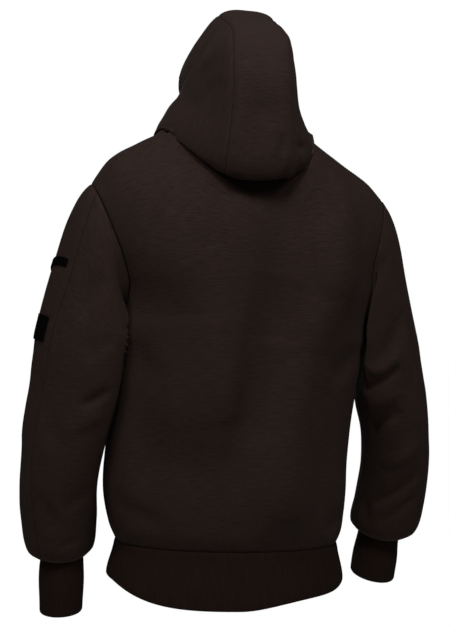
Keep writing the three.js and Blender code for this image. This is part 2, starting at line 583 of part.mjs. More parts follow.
// Where the body and the hood are sewn, both walls end on one mitre. column counts along the neck edge, from the
// back middle (0) by the shoulder seam to the zip.
function neckMitre(side, column) {
  const round = NECK_ROUNDS[column];
  const front = column > NECK_COLUMNS;
  const u = ((front ? 2 * NECK_COLUMNS - column : column) / NECK_COLUMNS) * CORNER_U;
  const frontNormal = () => (side > 0 ? normalOf(frontLeftPlace, u, 1) : normalOf(frontRightPlace, 1 - u, 1));
  const body = front ? frontNormal() : normalOf(backPlace, (1 - side * u) / 2, 1);
  const hood = normalOf((a, b) => hoodPoint(1 - a, b), 1 - side * round, 0, [0, 2]);
  return body.add(hood).normalize();
}

// ---- Build: body ----
const near = (a, b) => Math.abs(a - b) < 1e-6;
const bodyMitre = (front) => (out, v, right) => {
  if (near(v, 1) && out <= CORNER_U + 1e-6) {
    const column = Math.round((out / CORNER_U) * NECK_COLUMNS);
    return neckMitre(right ? -1 : 1, front ? 2 * NECK_COLUMNS - column : column);
  }
  if (near(out, 1) && v > UNDERARM_V - 1e-6) {
    const share = clamp((v - UNDERARM_V) / (1 - UNDERARM_V));
    const mitre = sharedMitre(right ? ARMS.right : ARMS.left, front, share);
    return right ? flip(mitre) : mitre;
  }
  return null;
};
const backMitre = bodyMitre(false);
const frontMitre = bodyMitre(true);
wall({
  name: "back_panel",
  place: backPlace,
  us: BACK_US,
  vs: BODY_ROWS,
  mitre: (u, v) => backMitre(Math.abs(1 - 2 * u), v, u > 0.5),
  material: FLEECE,
});
wall({
  name: "front_left",
  place: frontLeftPlace,
  us: HALF_US,
  vs: BODY_ROWS,
  mitre: (u, v) => frontMitre(u, v, false),
  material: FLEECE,
});
wall({
  name: "front_right",
  place: frontRightPlace,
  us: HALF_US,
  vs: BODY_ROWS,
  mitre: (u, v) => frontMitre(1 - u, v, true),
  material: FLEECE,
});

// ---- Build: sleeves ----
const flipMitre = (mitre) => (mitre ? flip(mitre) : null);
// The rows close to the armhole differ, as the two sleeves leave it at different slopes.
const FIRST_ARM_ROWS = { left: [0, 0.04, 0.08], right: [0, 0.045, 0.085] };
const ARM_ROWS = [0.12, 0.18, 0.25, 0.32, 0.4, 0.48, 0.56, 0.64, 0.72, 0.8, 0.87, 0.92, 0.955, 0.98, 1];
for (const [side, arm] of Object.entries(ARMS)) {
  const right = side === "right";
  for (const part of ["upper", "under"]) {
    const front = part === "upper";
    const place = front ? upperPlace(arm) : underPlace(arm);
    const us = front ? ARMHOLE_SHARES.map((share) => 1 - share).reverse() : ARMHOLE_SHARES;
    const mitre = (u, v) => {
      if (v === 0) return sharedMitre(arm, front, clamp(front ? 1 - u : u));
      if (near(u, 0)) return sleeveSeamNormal(arm, !front, v);
      return near(u, 1) ? sleeveSeamNormal(arm, front, v) : null;
    };
    wall({
      name: `sleeve_${side}_${part}`,
      place: right ? mirrored(place) : place,
      us: right ? us.map((u) => 1 - u).reverse() : us,
      vs: [...FIRST_ARM_ROWS[side], ...ARM_ROWS],
      mitre: right ? (u, v) => flipMitre(mitre(1 - u, v)) : mitre,
      reach: THROUGH,
      material: FLEECE,
    });
  }
}

// ---- Build: cuffs and waistband ----
for (const [side, arm] of Object.entries(ARMS)) {
  wall({
    name: `cuff_${side}`,
    place: arm.side > 0 ? cuffPlace(arm) : mirrored(cuffPlace(arm)),
    us: steps(0, 1, RIBS.cuff * 2).slice(0, -1),
    vs: steps(0, 1, 3),
    thick: () => RIB_CLOTH,
    raise: rib(RIBS.cuff),
    closed: true,
    material: RIB_KNIT,
  });
}
const bandPlace = (u, v) => {
  const top = bandTop(u);
  const back = ease(top.y / BAND.backY);
  const front = ease((top.y - BAND.frontY.from) / (BAND.frontY.to - BAND.frontY.from));
  const lift = back * BAND.lift.by * bump((top.x - BAND.lift.x) / BAND.lift.over);
  const drop = BAND.side + (BAND.back - BAND.side) * back + (BAND.front - BAND.side) * front - lift;
  const spread = 1 + (BAND.base + BAND.flare * ease(1 - v)) / BAND.half;
  const x = Math.abs(top.x) < 2 * ZIP_HALF_GAP ? top.x : top.x * spread; // the two ends stay beside the zip
  return point(x, mix(BAND.middleY, top.y, spread), BAND_TOP_Z + SEAM_GAP / 2 - CURVED_GAP - drop * (1 - v));
};
wall({
  name: "waistband",
  place: bandPlace,
  us: steps(0, 1, RIBS.waist * 2),
  vs: steps(0, 1, 3),
  thick: () => RIB_CLOTH,
  raise: rib(RIBS.waist),
  material: RIB_KNIT,
});

// ---- Build: hood ----
const HOOD_ROWS = [0, 0.04, 0.08, 0.11, 0.14, 0.17, 0.2, 0.26, 0.34, 0.43, 0.52, 0.61, 0.7, 0.78, 0.86, 0.93, 1];
const hem = (u, v) => (v > 0.92 ? HEM_CLOTH : CLOTH);
const columnOf = (round) => NECK_ROUNDS.findIndex((r) => Math.abs(r - Math.abs(round)) < 0.01);
const hoodMitre = (round, v) => {
  if (v > 0 && Math.abs(Math.abs(round) - GUSSET_ROUND) > 2 * GUSSET_INSET) return null;
  if (v > 0) return normalOf((a, b) => hoodPoint(1 - a, b), 1 - Math.sign(round) * GUSSET_ROUND, v, [0, 2]);
  return neckMitre(round < 0 ? -1 : 1, columnOf(round));
};
wall({
  name: "hood_left",
  otherSplit: true,
  place: hoodLeftPlace,
  us: SIDE_US,
  vs: HOOD_ROWS,
  thick: hem,
  mitre: (u, v) => hoodMitre(roundOfU(u), v),
  reach: [0, 2],
  material: FLEECE,
});
wall({
  name: "hood_right",
  place: hoodRightPlace,
  us: SIDE_US.map((u) => 1 - u).reverse(),
  vs: HOOD_ROWS,
  thick: hem,
  mitre: (u, v) => hoodMitre(-roundOfU(1 - u), v),
  reach: [-1, 1],
  material: FLEECE,
});
wall({
  name: "hood_gusset",
  place: gussetPlace,
  us: GUSSET_US,
  vs: HOOD_ROWS,
  thick: hem,
  mitre: (u, v) => hoodMitre(mix(GUSSET_EDGE, -GUSSET_EDGE, u), v),
  reach: THROUGH,
  material: FLEECE,
});

// ---- Zip ----
// The middle line of the fronts, from the band's lower edge (0) to the neck (1), and how it faces.
const ZIP_LENGTH = 560; // of the zip over the fronts, from the band to the neck
const BAND_SHARE = BAND.front / (BAND.front + ZIP_LENGTH);
function zipLine(t) {
  if (t < BAND_SHARE) {
    const p = bandPlace(0, t / BAND_SHARE);
    return point(0, p.y, p.z);
  }
  const p = bodyPoint("front", 0, (t - BAND_SHARE) / (1 - BAND_SHARE));
  return point(0, p.y, p.z);
}
function zipFacing(t) {
  const up = zipLine(Math.min(1, t + 0.01)).sub(zipLine(Math.max(0, t - 0.01)));
  return point(0, -up.z, up.y).normalize();
}
const TAPE_CLEAR = 0.9; // tape to the back of the rib
const ZIP = { chainHalf: 3.2, chainDepth: 0.8, chainThick: 2.2, tapeWidth: 12, tapeDepth: RIB_CLOTH + TAPE_CLEAR, bow: 90 };
const zipStrip = (left, right, depth) => (u, v) => {
  const x = mix(left, right, u);
  return zipLine(v).addScaledVector(zipFacing(v), -depth - (x * x) / (2 * ZIP.bow)).add(point(x, 0, 0));
};
const TAPE_START = ZIP.chainHalf + 0.4;
const ZIP_ROWS = [
  ...[0.004, BAND_SHARE / 2, BAND_SHARE - 0.012],
  ...BODY_ROWS.slice(0, -1).map((v) => mix(BAND_SHARE, 1, v)),
  0.994,
];
wall({
  name: "zip_chain",
  place: zipStrip(-ZIP.chainHalf, ZIP.chainHalf, ZIP.chainDepth),
  us: [0, 1],
  vs: ZIP_ROWS,
  thick: () => ZIP.chainThick,
  material: ZIP_METAL,
});
for (const [side, left, right] of [
  ["left", TAPE_START, TAPE_START + ZIP.tapeWidth],
  ["right", -TAPE_START - ZIP.tapeWidth, -TAPE_START],
]) {
  wall({
    name: `zip_tape_${side}`,
    place: zipStrip(left, right, ZIP.tapeDepth),
    us: [0, 0.5, 1],
    vs: ZIP_ROWS,
    thick: () => TAPE,
    material: TAPE_CLOTH,
  });
}

// ---- Pocket trims on the left sleeve ----
// Flat tape laid on the upper panel, beside its seam. top and bottom: places down the sleeve; from and to: degrees
// round it from the seam; slope: how much lower the tape lies at its far end.
const TRIM = { clear: -0.6, thick: 1.2 }; // over the true curve, which the panel's facets cut up to 1.2 mm short
const SLEEVE_TRIMS = [
  { name: "pocket_tape", top: 0.197, bottom: 0.211, from: 8, to: 64, slope: 0.02, columns: 7 },
  { name: "pocket_tab", top: 0.312, bottom: 0.37, from: 9, to: 38, slope: 0, columns: 4 },
];
for (const { name, top, bottom, from, to, slope, columns } of SLEEVE_TRIMS) {
  const panel = upperPlace(ARMS.left);
  const place = (u, v) => {
    const along = mix(bottom, top, v) + slope * u;
    const panelU = mix(from, to, u) / (180 + read(SEAM_ROUND, "round", along));
    const lift = TRIM.clear + TRIM.thick;
    return panel(panelU, along).addScaledVector(normalOf(panel, panelU, along, THROUGH), lift);
  };
  wall({ name, place, us: steps(0, 1, columns), vs: steps(0, 1, 2), thick: () => TRIM.thick, material: TAPE_CLOTH });
}

// ---- Zip slider and pull ----
// Drawn with x across, y up the zip and z out of it, then set on the zip's middle line.
const solids = await Module();
solids.setup();
const SLIDER = {
  ...{ at: 0.962, half: 3.8, top: 5.2, bottom: -6, back: -0.3, front: 1.7 },
  ...{ corner: 1.2, nose: 1.2, neck: 3, neckUp: 2.5, waist: 1.5 },
};
const BRIDGE = { half: 1.1, top: 4.2, height: 5.3, window: 3, roof: 4, sunk: 0.6, corner: 1.4 };
const PULL = {
  pivot: 2.85,
  half: 3,
  hole: 1.7,
  holeEnd: 5.7,
  length: 25,
  thick: 1.2,
  bar: 0.6,
  corner: { x: 0.8, y: 1.2 },
};
const THROUGH_CUT = 1; // how far a cutting shape stands out of what it cuts

function place3(shape, name, at, material) {
  const [origin, facing] = [zipLine(at), zipFacing(at)];
  const up = facing.clone().cross(point(1, 0, 0)).normalize();
  const { vertProperties, triVerts, numProp } = shape.getMesh();
  const positions = [];
  for (let i = 0; i < vertProperties.length; i += numProp) {
    const [x, y, z] = vertProperties.slice(i, i + 3);
    const p = origin.clone().add(point(x, 0, 0)).addScaledVector(up, y).addScaledVector(facing, z);
    positions.push(p.x, p.y, p.z);
  }
  addSolid(name, positions, Array.from(triVerts), material);
}
// A flat outline of x and y, from one height to another.
const slab = (outline, low, high) =>
  new solids.CrossSection([outline]).extrude(high - low).translate([0, 0, low]);
const bothSides = (right) => [...right, ...right.map(([x, y]) => [-x, y]).reverse()];
const sliderOutline = bothSides([
  [SLIDER.nose, SLIDER.bottom],
  [SLIDER.neck, SLIDER.bottom + SLIDER.neckUp],
  [SLIDER.half, SLIDER.waist],
  [SLIDER.half, SLIDER.top - SLIDER.corner],
  [SLIDER.half - SLIDER.corner, SLIDER.top],
]);
const arch = (reach, roof) =>
  bothSides([
    [reach, SLIDER.front - BRIDGE.sunk],
    [reach, roof - BRIDGE.corner],
    [reach - BRIDGE.corner, roof],
  ]);
// The bridge is an arch drawn in y and z, so it is turned to stand across the slider.
const archSolid = (reach, roof, half) => slab(arch(reach, roof), -half, half).rotate([90, 0, 90]);
const bridge = archSolid(BRIDGE.top, BRIDGE.height, BRIDGE.half).subtract(
  archSolid(BRIDGE.window, BRIDGE.roof, BRIDGE.half + THROUGH_CUT)
);
place3(slab(sliderOutline, SLIDER.back, SLIDER.front).add(bridge), "zip_slider", SLIDER.at, ZIP_METAL);

// The pull turns on its own bar, which runs through the bridge's window.
const [pullLow, pullHigh] = [PULL.pivot - PULL.thick / 2, PULL.pivot + PULL.thick / 2];
const pullOutline = bothSides([
  [PULL.half - PULL.corner.x, -PULL.length],
  [PULL.half, -PULL.length + PULL.corner.y],
  [PULL.half, PULL.bar],
]);
const pullHole = bothSides([
  [PULL.hole, -PULL.holeEnd],
  [PULL.hole, -PULL.bar],
]);
const pullBody = slab(pullOutline, pullLow, pullHigh).subtract(
  slab(pullHole, pullLow - THROUGH_CUT, pullHigh + THROUGH_CUT)
);
place3(pullBody, "zip_pull", SLIDER.at, ZIP_METAL);

export default GARMENT;
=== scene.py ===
"""Zip-up hoodie in heavy marled fleece, in worn form with its hood up.

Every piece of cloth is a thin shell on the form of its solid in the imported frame. Lengths are in millimetres
until a mesh is made, which is in metres. The wearer faces -Y, so the wearer's left is +X, and the origin is
the middle of the neck, level with the highest points of the shoulder seams.
"""

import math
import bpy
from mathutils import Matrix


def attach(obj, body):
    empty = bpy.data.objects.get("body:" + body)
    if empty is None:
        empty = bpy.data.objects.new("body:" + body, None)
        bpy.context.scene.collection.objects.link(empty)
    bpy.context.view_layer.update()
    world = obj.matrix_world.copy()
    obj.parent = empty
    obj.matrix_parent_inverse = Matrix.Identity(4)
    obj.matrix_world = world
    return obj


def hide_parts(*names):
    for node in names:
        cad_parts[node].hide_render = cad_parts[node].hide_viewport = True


bl_info = {
    "name": "Zip-up hoodie",
    "version": (1, 0, 0),
    "blender": (4, 5, 0),
    "location": "3D View > Sidebar > Hoodie",
    "description": "Builds the cloth, seams, ribs and zip of a zip-up hoodie on its packed frame",
    "category": "Object",
}

import bpy
import numpy as np
from mathutils import Quaternion, Vector

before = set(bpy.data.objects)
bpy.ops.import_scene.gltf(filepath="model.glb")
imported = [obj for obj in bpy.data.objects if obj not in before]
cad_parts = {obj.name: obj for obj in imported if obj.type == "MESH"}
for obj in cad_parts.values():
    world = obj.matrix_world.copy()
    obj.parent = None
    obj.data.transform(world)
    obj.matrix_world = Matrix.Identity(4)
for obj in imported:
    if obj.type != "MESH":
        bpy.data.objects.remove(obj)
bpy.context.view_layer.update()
BODY_NAME = "garment"

MM = 1000  # millimetres in a metre

# ---- Form: the sizes that the solids have too ----
# Gaps between pieces: at a seam, round an armhole, and along an edge that curves.
SEAM_GAP, ARMHOLE_GAP, CURVED_GAP = 0.4, 0.5, 0.7
# Shoulders: their reach, their ridge, and how far behind it the seam lies at the neck and the armhole.
SHOULDER_REACH = 232
SHOULDER_RIDGE_Y = -12
SEAM_SET_BACK_NECK, SEAM_SET_BACK_ARMHOLE = 24, 32
# Neck hole: half its width, where it is widest, its reach to the back and front, and how square it is.
NECK_HALF, NECK_WIDEST_Y, NECK_BACK, NECK_FRONT = 98, 12, 56, 124
NECK_SQUARE = 0.8
NECK_ACROSS = NECK_HALF / SHOULDER_REACH
# Waistband: its seam, how far it comes down at the sides, the back and the front, and where these are. It
# flares downwards, and it is lifted a little at the right of the back.
BAND_TOP_Z = -638
BAND_SIDE, BAND_BACK, BAND_FRONT = 54, 84, 62
BAND_BACK_Y, BAND_FRONT_FROM, BAND_FRONT_TO, BAND_MIDDLE_Y = 110, -60, -150, -18
BAND_BASE, BAND_FLARE, BAND_HALF = 2, 11, 170
BAND_LIFT, BAND_LIFT_X, BAND_LIFT_OVER = 12, -105, 110
# Body: the underarm, the yoke line that the shoulders turn over and its share of a panel's height, and how
# full the body's sections are.
UNDERARM_Z = -325
YOKE_Z, YOKE_V = -200, 0.7
ROUNDNESS = 0.88
HALF_GAP_TILT = 0.12  # half the shoulder seam's gap, in degrees over the shoulder
ZIP_HALF_GAP, ZIP_LENGTH = 4.4, 560


def table(columns, *rows):
    """A short table: one named column for each word, one row for each section."""
    return {name: np.array([row[i] for row in rows], float) for i, name in enumerate(columns.split())}


BODY = table(
    "at half back front back_edge front_edge turn shift",
    (-638, 173, 108, -142, -18, -18, 90, 1),
    (-612, 183, 116, -152, -18, -18, 90, 3),
    (-560, 191, 121, -157, -18, -18, 90, 6),
    (-500, 191, 121, -157, -18, -18, 90, 5),
    (-430, 191, 121, -154, -17, -17, 90, -2),
    (-370, 197, 122, -150, -16, -16, 90, -6),
    (-325, 203, 123, -147, -15, -15, 90, -7),
    (-318, 202, 123, -146, 2, -32, 83, -7),
    (-305, 198, 124, -145, 16, -46, 77, -8),
    (-285, 192, 124, -143, 30, -58, 71, -12),
    (-250, 189, 125, -140, 46, -71, 64.5, -14),
    (-225, 192, 125, -137, 52, -75, 62, -11),
    (-200, 197, 124, -134, 56, -78, 60, -7),
)
RIDGE = table(
    "at left right",
    (0, 12, 12),
    (60, 10, 10),
    (98, 0, 0),
    (130, -10, -20),
    (165, -27, -43),
    (205, -53, -68),
    (232, -94, -94),
)
# Soft folds that hang down the body. across: -1 at the right side to 1 at the left; lean: how far across a
# fold moves by its lower end.
BODY_FOLDS = {
    "back": table(
        "across lean top bottom width depth",
        (-0.25, 0.3, -110, -600, 0.3, -9),
        (0.25, 0.03, -190, -600, 0.24, 5),
        (-0.62, 0.06, -100, -420, 0.24, 6),
        (-0.45, 0.06, -400, -636, 0.28, 4),
        (0.76, -0.06, -330, -636, 0.18, -5),
    ),
    "front": table(
        "across lean top bottom width depth",
        (0.6, -0.08, -180, -620, 0.25, 5),
        (-0.62, 0.1, -200, -636, 0.25, 5),
        (0.82, -0.04, -330, -600, 0.14, -4),
        (-0.84, 0.03, -330, -560, 0.13, -4),
    ),
}
# Rings down each arm, as if on the left: 0 is the armhole, 1 the cuff seam.
LEFT_ARM = table(
    "at x y z pitch lean turn out deep join",
    (0, 234, -10, -208, 0, 0, 0, 114, 68, 1),
    (0.1, 224, -8, -240, 28, 0, 6, 104, 68, 0.5),
    (0.22, 218, -5, -288, 52, 0, 18, 94, 65, 0.1),
    (0.36, 236, -1, -348, 74, 0, 32, 82, 57, 0),
    (0.5, 246, -4, -408, 83, 3, 38, 77, 52, 0),
    (0.64, 257, -10, -472, 87, 6, 34, 70, 52, 0),
    (0.78, 263, -22, -543, 90, 10, 22, 62, 54, 0),
    (0.9, 261, -35, -608, 93, 10, 10, 58, 52, 0),
    (0.97, 257, -43, -653, 95, 8, 4, 51, 48, 0),
    (1, 254, -46, -668, 95, 6, 0, 34, 38, 0),
)
RIGHT_ARM = table(
    "at x y z pitch lean turn out deep join",
    (0, 234, -10, -208, 0, 0, 0, 114, 68, 1),
    (0.1, 220, -8, -244, 30, 0, 6, 103, 66, 0.45),
    (0.22, 217, -6, -290, 52, 0, 14, 88, 62, 0.1),
    (0.36, 237, -6, -346, 74, 0, 26, 76, 57, 0),
    (0.5, 257, -10, -400, 82, 4, 28, 66, 53, 0),
    (0.64, 272, -20, -456, 87, 12, 22, 57, 53, 0),
    (0.78, 281, -38, -520, 90, 18, 12, 56, 54, 0),
    (0.9, 280, -56, -582, 93, 18, 6, 58, 53, 0),
    (0.97, 274, -68, -622, 95, 16, 4, 54, 50, 0),
    (1, 270, -74, -637, 95, 14, 0, 34, 38, 0),
)
# The long seam of each sleeve: degrees round it, from its outermost line towards the back.
SEAM_ROUND = table("at round", (0, 30), (0.12, 50), (0.2, 57), (0.38, 67), (0.55, 69), (0.7, 62), (1, 52))
SEAM_TOP = 30
SEAM_INSET = 0.42  # half a seam's gap, in degrees
SLEEVE_CLEAR, SLEEVE_BEND = 6, 14  # how far a sleeve stays off the body, and how softly it bends away
CUFF_TUCK, CUFF_SWELL = 1, 1.5  # how far in a cuff is drawn, and how far its middle stands out
# side, rings, cuff drop, cuff x, cuff y, cuff spread
ARMS = {"left": (1, LEFT_ARM, 84, 5, 2, 0), "right": (-1, RIGHT_ARM, 70, 1, 5, 3)}
HOOD_STOPS = ("top", "seam", "side", "cheek", "end")
# Arches of the hood from the neck seam (0) to the face's edge (1): top, gusset seam, side, cheek, end.
HOOD = table(
    "at " + " ".join(f"{name}_{axis}" for name in HOOD_STOPS for axis in "xyz"),
    (0, 0, 68, -24, 49, 58, -18, 98, 10, 0, 66, -74, -44, 5, -112, -78),
    (0.08, 0, 104, -60, 50, 94, -52, 106, 36, -14, 98, -62, -24, 7, -116, -71),
    (0.14, 0, 127, -92, 51, 115, -83, 110, 52, -31, 116, -60, -27, 8, -118, -64),
    (0.2, 0, 141, -70, 52, 129, -62, 106, 58, -14, 125, -58, -12, 9, -119, -56),
    (0.34, 0, 138, 4, 47, 132, 6, 84, 58, 32, 112, -54, 26, 11, -120, -48),
    (0.52, 0, 133, 72, 45, 126, 73, 74, 56, 68, 98, -50, 42, 14, -121, -38),
    (0.7, 0, 104, 128, 44, 97, 125, 71, 38, 96, 90, -44, 58, 18, -122, -28),
    (0.84, 0, 52, 161, 43, 46, 155, 72, 6, 110, 87, -48, 68, 21, -123, -19),
    (0.93, 0, -6, 184, 43, -6, 174, 76, -24, 126, 86, -60, 66, 24, -124, -11),
    (1, 0, -34, 198, 45, -32, 187, 78, -48, 134, 86, -82, 68, 26, -125, -4),
)
CROWN_LEAN_FROM, CROWN_LEAN_TO, CROWN_LEAN_X = 90, 180, -8  # the crown leans to the right
HOOD_TUCK, TUCK_FROM, TUCK_TO = 22, 0.06, 0.17  # the right side is slimmer above its lower edge
HOOD_TIE = 0.14  # how far up the hood still follows the neck's edge
HOOD_CLEAR, HOOD_BEND = 4, 3  # how far the hood stays above the shoulders, and how softly it bends up
NECK_PACE = 5 / 9  # so that the gusset meets the neck a third of the way to the shoulder
GUSSET_ROUND, GUSSET_INSET = 0.25, 0.002  # where round an arch the gusset ends, and half its seam's gap


# ---- Small helpers ----
def mix(a, b, t):
    return a + (b - a) * t


def ease(t):
    """Soft change from 0 to 1."""
    t = np.clip(t, 0, 1)
    return t * t * (3 - 2 * t)


def bump(d):
    """A soft hump: 1 at 0, and 0 from 1 outwards on both sides."""
    return np.where(np.abs(d) < 1, (1 - np.minimum(1, d * d)) ** 2, 0)


def at_least(least, length, soft):
    """The greater of two lengths, with a soft change from one to the other."""
    short = least - length
    soft = np.maximum(soft, 1e-9)
    between = length + (short + soft) ** 2 / (4 * soft)
    return np.where(short >= soft, least, np.where(short > -soft, between, length))


def curve(t, start, start_slope, end, end_slope):
    """Smooth curve from start to end as t goes from 0 to 1."""
    t2, t3 = t * t, t * t * t
    return (
        (2 * t3 - 3 * t2 + 1) * start
        + (t3 - 2 * t2 + t) * start_slope
        + (3 * t2 - 2 * t3) * end
        + (t3 - t2) * end_slope
    )


def read(columns, name, at):
    """Smooth curve through one column of a table, read along its `at` column."""
    xs, ys = columns["at"], columns[name]
    at = np.asarray(at, float)
    last = len(xs) - 1
    i = np.clip(np.searchsorted(xs, at, side="left") - 1, 0, last - 1)
    before, after = np.maximum(i - 1, 0), np.minimum(i + 2, last)
    span = xs[i + 1] - xs[i]
    start = (ys[i + 1] - ys[before]) / (xs[i + 1] - xs[before]) * span
    end = (ys[after] - ys[i]) / (xs[after] - xs[i]) * span
    return curve((at - xs[i]) / span, ys[i], start, ys[i + 1], end)


def xyz(x, y, z):
    return np.stack(np.broadcast_arrays(x, y, z), axis=-1).astype(float)


def unit(vectors):
    return vectors / np.maximum(1e-12, np.linalg.norm(vectors, axis=-1, keepdims=True))


FLIP = np.array([-1.0, 1.0, 1.0])


# ---- Body ----
def fold_depth(panel, across, z):
    folds = BODY_FOLDS[panel]
    depth = 0
    for i in range(len(folds["across"])):
        top, bottom = folds["top"][i], folds["bottom"][i]
        down = np.clip((z - top) / (bottom - top), 0, 1)
        centre = folds["across"][i] + folds["lean"][i] * down
        depth = depth + folds["depth"][i] * bump((across - centre) / folds["width"][i]) * bump(2 * down - 1)
    return depth


def corner_turn(z):
    """How far round a section its side edge lies: 90 degrees below the underarm, less at an armhole."""
    return np.radians(np.where(np.asarray(z) <= UNDERARM_Z, 90, np.minimum(90, read(BODY, "turn", z))))


def section(panel, across, z):
    """A level section of one panel: across runs from -1 to 1 between its edges."""
    out = 1 if panel == "back" else -1
    half, mid = read(BODY, "half", z), read(BODY, panel, z)
    edge = read(BODY, panel + "_edge", z) + out * SEAM_GAP / 2
    turn = corner_turn(z)
    angle = np.arcsin(np.clip(across, -1, 1) * np.sin(turn))
    share = np.maximum(0, (np.cos(angle) - np.cos(turn)) / (1 - np.cos(turn))) ** ROUNDNESS
    y = mix(edge, mid, share) + out * fold_depth(panel, across, z)
    shift = read(BODY, "shift", z) * (across * across if panel == "front" else 1)
    return xyz(shift + half * across, y, z)


def yoke(panel, across):
    """The section where a panel starts to turn over the shoulder."""
    return section(panel, across, np.full(np.shape(across), float(YOKE_Z)))


def shoulder(panel, across, tilt):
    """Over the shoulder: tilt 0 is the yoke line, 90 the ridge."""
    foot = yoke(panel, across)
    out = np.abs(across) * SHOULDER_REACH
    ridge = np.where(np.asarray(across) > 0, read(RIDGE, "left", out), read(RIDGE, "right", out))
    rise, run = np.sin(np.radians(tilt)), np.cos(np.radians(tilt))
    return xyz(
        mix(foot[..., 0], across * SHOULDER_REACH, rise),
        mix(SHOULDER_RIDGE_Y, foot[..., 1], run),
        mix(YOKE_Z, ridge, rise),
    )


def tilt_at(panel, across, y):
    foot = yoke(panel, across)[..., 1]
    return np.degrees(np.arccos(np.clip((y - SHOULDER_RIDGE_Y) / (foot - SHOULDER_RIDGE_Y), -1, 1)))


def top_tilt(panel, across):
    """How far over the shoulder a panel goes: to the neck hole near the middle, else to the seam."""
    out = np.abs(across) / NECK_ACROSS
    hole = np.maximum(0, 1 - np.minimum(1, out) ** 2) ** NECK_SQUARE
    along = np.clip((np.abs(across) - NECK_ACROSS) / (1 - NECK_ACROSS), 0, 1)
    seam = SHOULDER_RIDGE_Y + mix(SEAM_SET_BACK_NECK, SEAM_SET_BACK_ARMHOLE, along)
    if panel == "back":
        y = np.where(out < 1, NECK_WIDEST_Y + NECK_BACK * hole, seam)
        return tilt_at("back", across, y) - HALF_GAP_TILT
    y = np.where(out < 1, NECK_WIDEST_Y - NECK_FRONT * hole, seam)
    before = tilt_at("front", across, y)
    behind = 180 - tilt_at("back", across, y)
    return np.where(y < SHOULDER_RIDGE_Y, before, behind) - HALF_GAP_TILT


def height_at(v):
    return mix(BAND_TOP_Z + SEAM_GAP / 2, YOKE_Z, v / YOKE_V)


UNDERARM_V = YOKE_V * (UNDERARM_Z - BAND_TOP_Z - SEAM_GAP / 2) / (YOKE_Z - BAND_TOP_Z - SEAM_GAP / 2)


def body_point(panel, across, v):
    """One panel from the band seam (v 0) to its top edge (v 1)."""
    across, v = np.broadcast_arrays(np.asarray(across, float), np.asarray(v, float))
    low = section(panel, across, height_at(np.minimum(v, YOKE_V)))
    tilt = top_tilt(panel, across) * np.maximum(0, v - YOKE_V) / (1 - YOKE_V)
    high = shoulder(panel, across, np.minimum(tilt, 90))
    if panel == "front":
        over = shoulder("back", across, 180 - np.maximum(tilt, 90))
        high = np.where((tilt <= 90)[..., None], high, over)
    return np.where((v <= YOKE_V)[..., None], low, high)


HALVINGS = 24  # enough to place the edge to far less than the thickness of the cloth


def across_at_x(x, v):
    """Where a point lies across its front, at a set distance to the left of the body's middle line."""
    v = np.asarray(v, float)
    foot = body_point("front", np.zeros(v.shape), v)[..., 0]
    low, high = np.zeros(v.shape), np.full(v.shape, 0.5)
    for _ in range(HALVINGS):
        middle = (low + high) / 2
        short = body_point("front", middle, v)[..., 0] - foot < x
        low, high = np.where(short, middle, low), np.where(short, high, middle)
    return low


CORNER_U = 6 / 13  # where the corner between the neck hole and the shoulder seam falls across a panel
CORNER_ANGLE = math.asin(NECK_ACROSS)


def across_at(start, u):
    inner = mix(start, NECK_ACROSS, np.sin(np.clip(u / CORNER_U, 0, 1) * math.pi / 2))
    outer = np.sin(mix(CORNER_ANGLE, math.pi / 2, np.clip((u - CORNER_U) / (1 - CORNER_U), 0, 1)))
    return np.where(np.asarray(u) <= CORNER_U, inner, outer)


ZIP_EDGE = {}
EDGE_SAMPLES, LINE_SAMPLES, TEETH_SAMPLES = 201, 241, 900  # places along a line that are worked out first


def zip_edge(v):
    """across_at_x at the zip, worked out once for each v."""
    v = np.asarray(v, float)
    if not ZIP_EDGE:
        ZIP_EDGE["v"] = np.linspace(0, 1, EDGE_SAMPLES)
        ZIP_EDGE["across"] = across_at_x(ZIP_HALF_GAP, ZIP_EDGE["v"])
    return np.interp(v, ZIP_EDGE["v"], ZIP_EDGE["across"])


def front_left_place(u, v):
    return body_point("front", across_at(zip_edge(v), u), v)


def front_right_place(u, v):
    return body_point("front", -across_at(zip_edge(v), 1 - u), v)


def back_place(u, v):
    side = 1 - 2 * u
    return body_point("back", np.sign(side) * across_at(0, np.abs(side)), v)


def side_reach(side, y, z):
    """How far out the side of the body stands, as it faces a sleeve."""
    level = np.maximum(z, BAND_TOP_Z)
    back, front = read(BODY, "back_edge", level), read(BODY, "front_edge", level)
    half, shift = read(BODY, "half", level), side * read(BODY, "shift", level)
    behind = y > back
    edge = np.where(behind, back, front)
    mid = np.where(behind, read(BODY, "back", level), read(BODY, "front", level))
    turn = corner_turn(level)
    share = np.clip((y - edge) / (mid - edge), 0, 1) ** (1 / ROUNDNESS)
    cosine = mix(np.cos(turn), 1, share)
    across = np.sqrt(np.maximum(0, 1 - cosine * cosine)) / np.sin(turn)
    reach = half * across + shift * np.where(behind, 1, across * across)
    return np.where((y <= back) & (y >= front), half + shift, reach)


def shoulder_height(x, y):
    """The height of the shoulders' cloth below the hood, as if on the left, closed in on three times."""
    foot = read(BODY, "half", YOKE_Z)
    rise = np.ones(np.shape(x))
    for _ in range(3):
        across = np.clip(np.abs(x) / mix(foot, SHOULDER_REACH, rise), 0, 1)
        back, front = yoke("back", across)[..., 1], yoke("front", across)[..., 1]
        reach = np.where(y > SHOULDER_RIDGE_Y, back, front)
        run = (y - SHOULDER_RIDGE_Y) / (reach - SHOULDER_RIDGE_Y)
        rise = np.sqrt(np.maximum(0, 1 - run * run))
    return mix(YOKE_Z, read(RIDGE, "left", across * SHOULDER_REACH), rise)


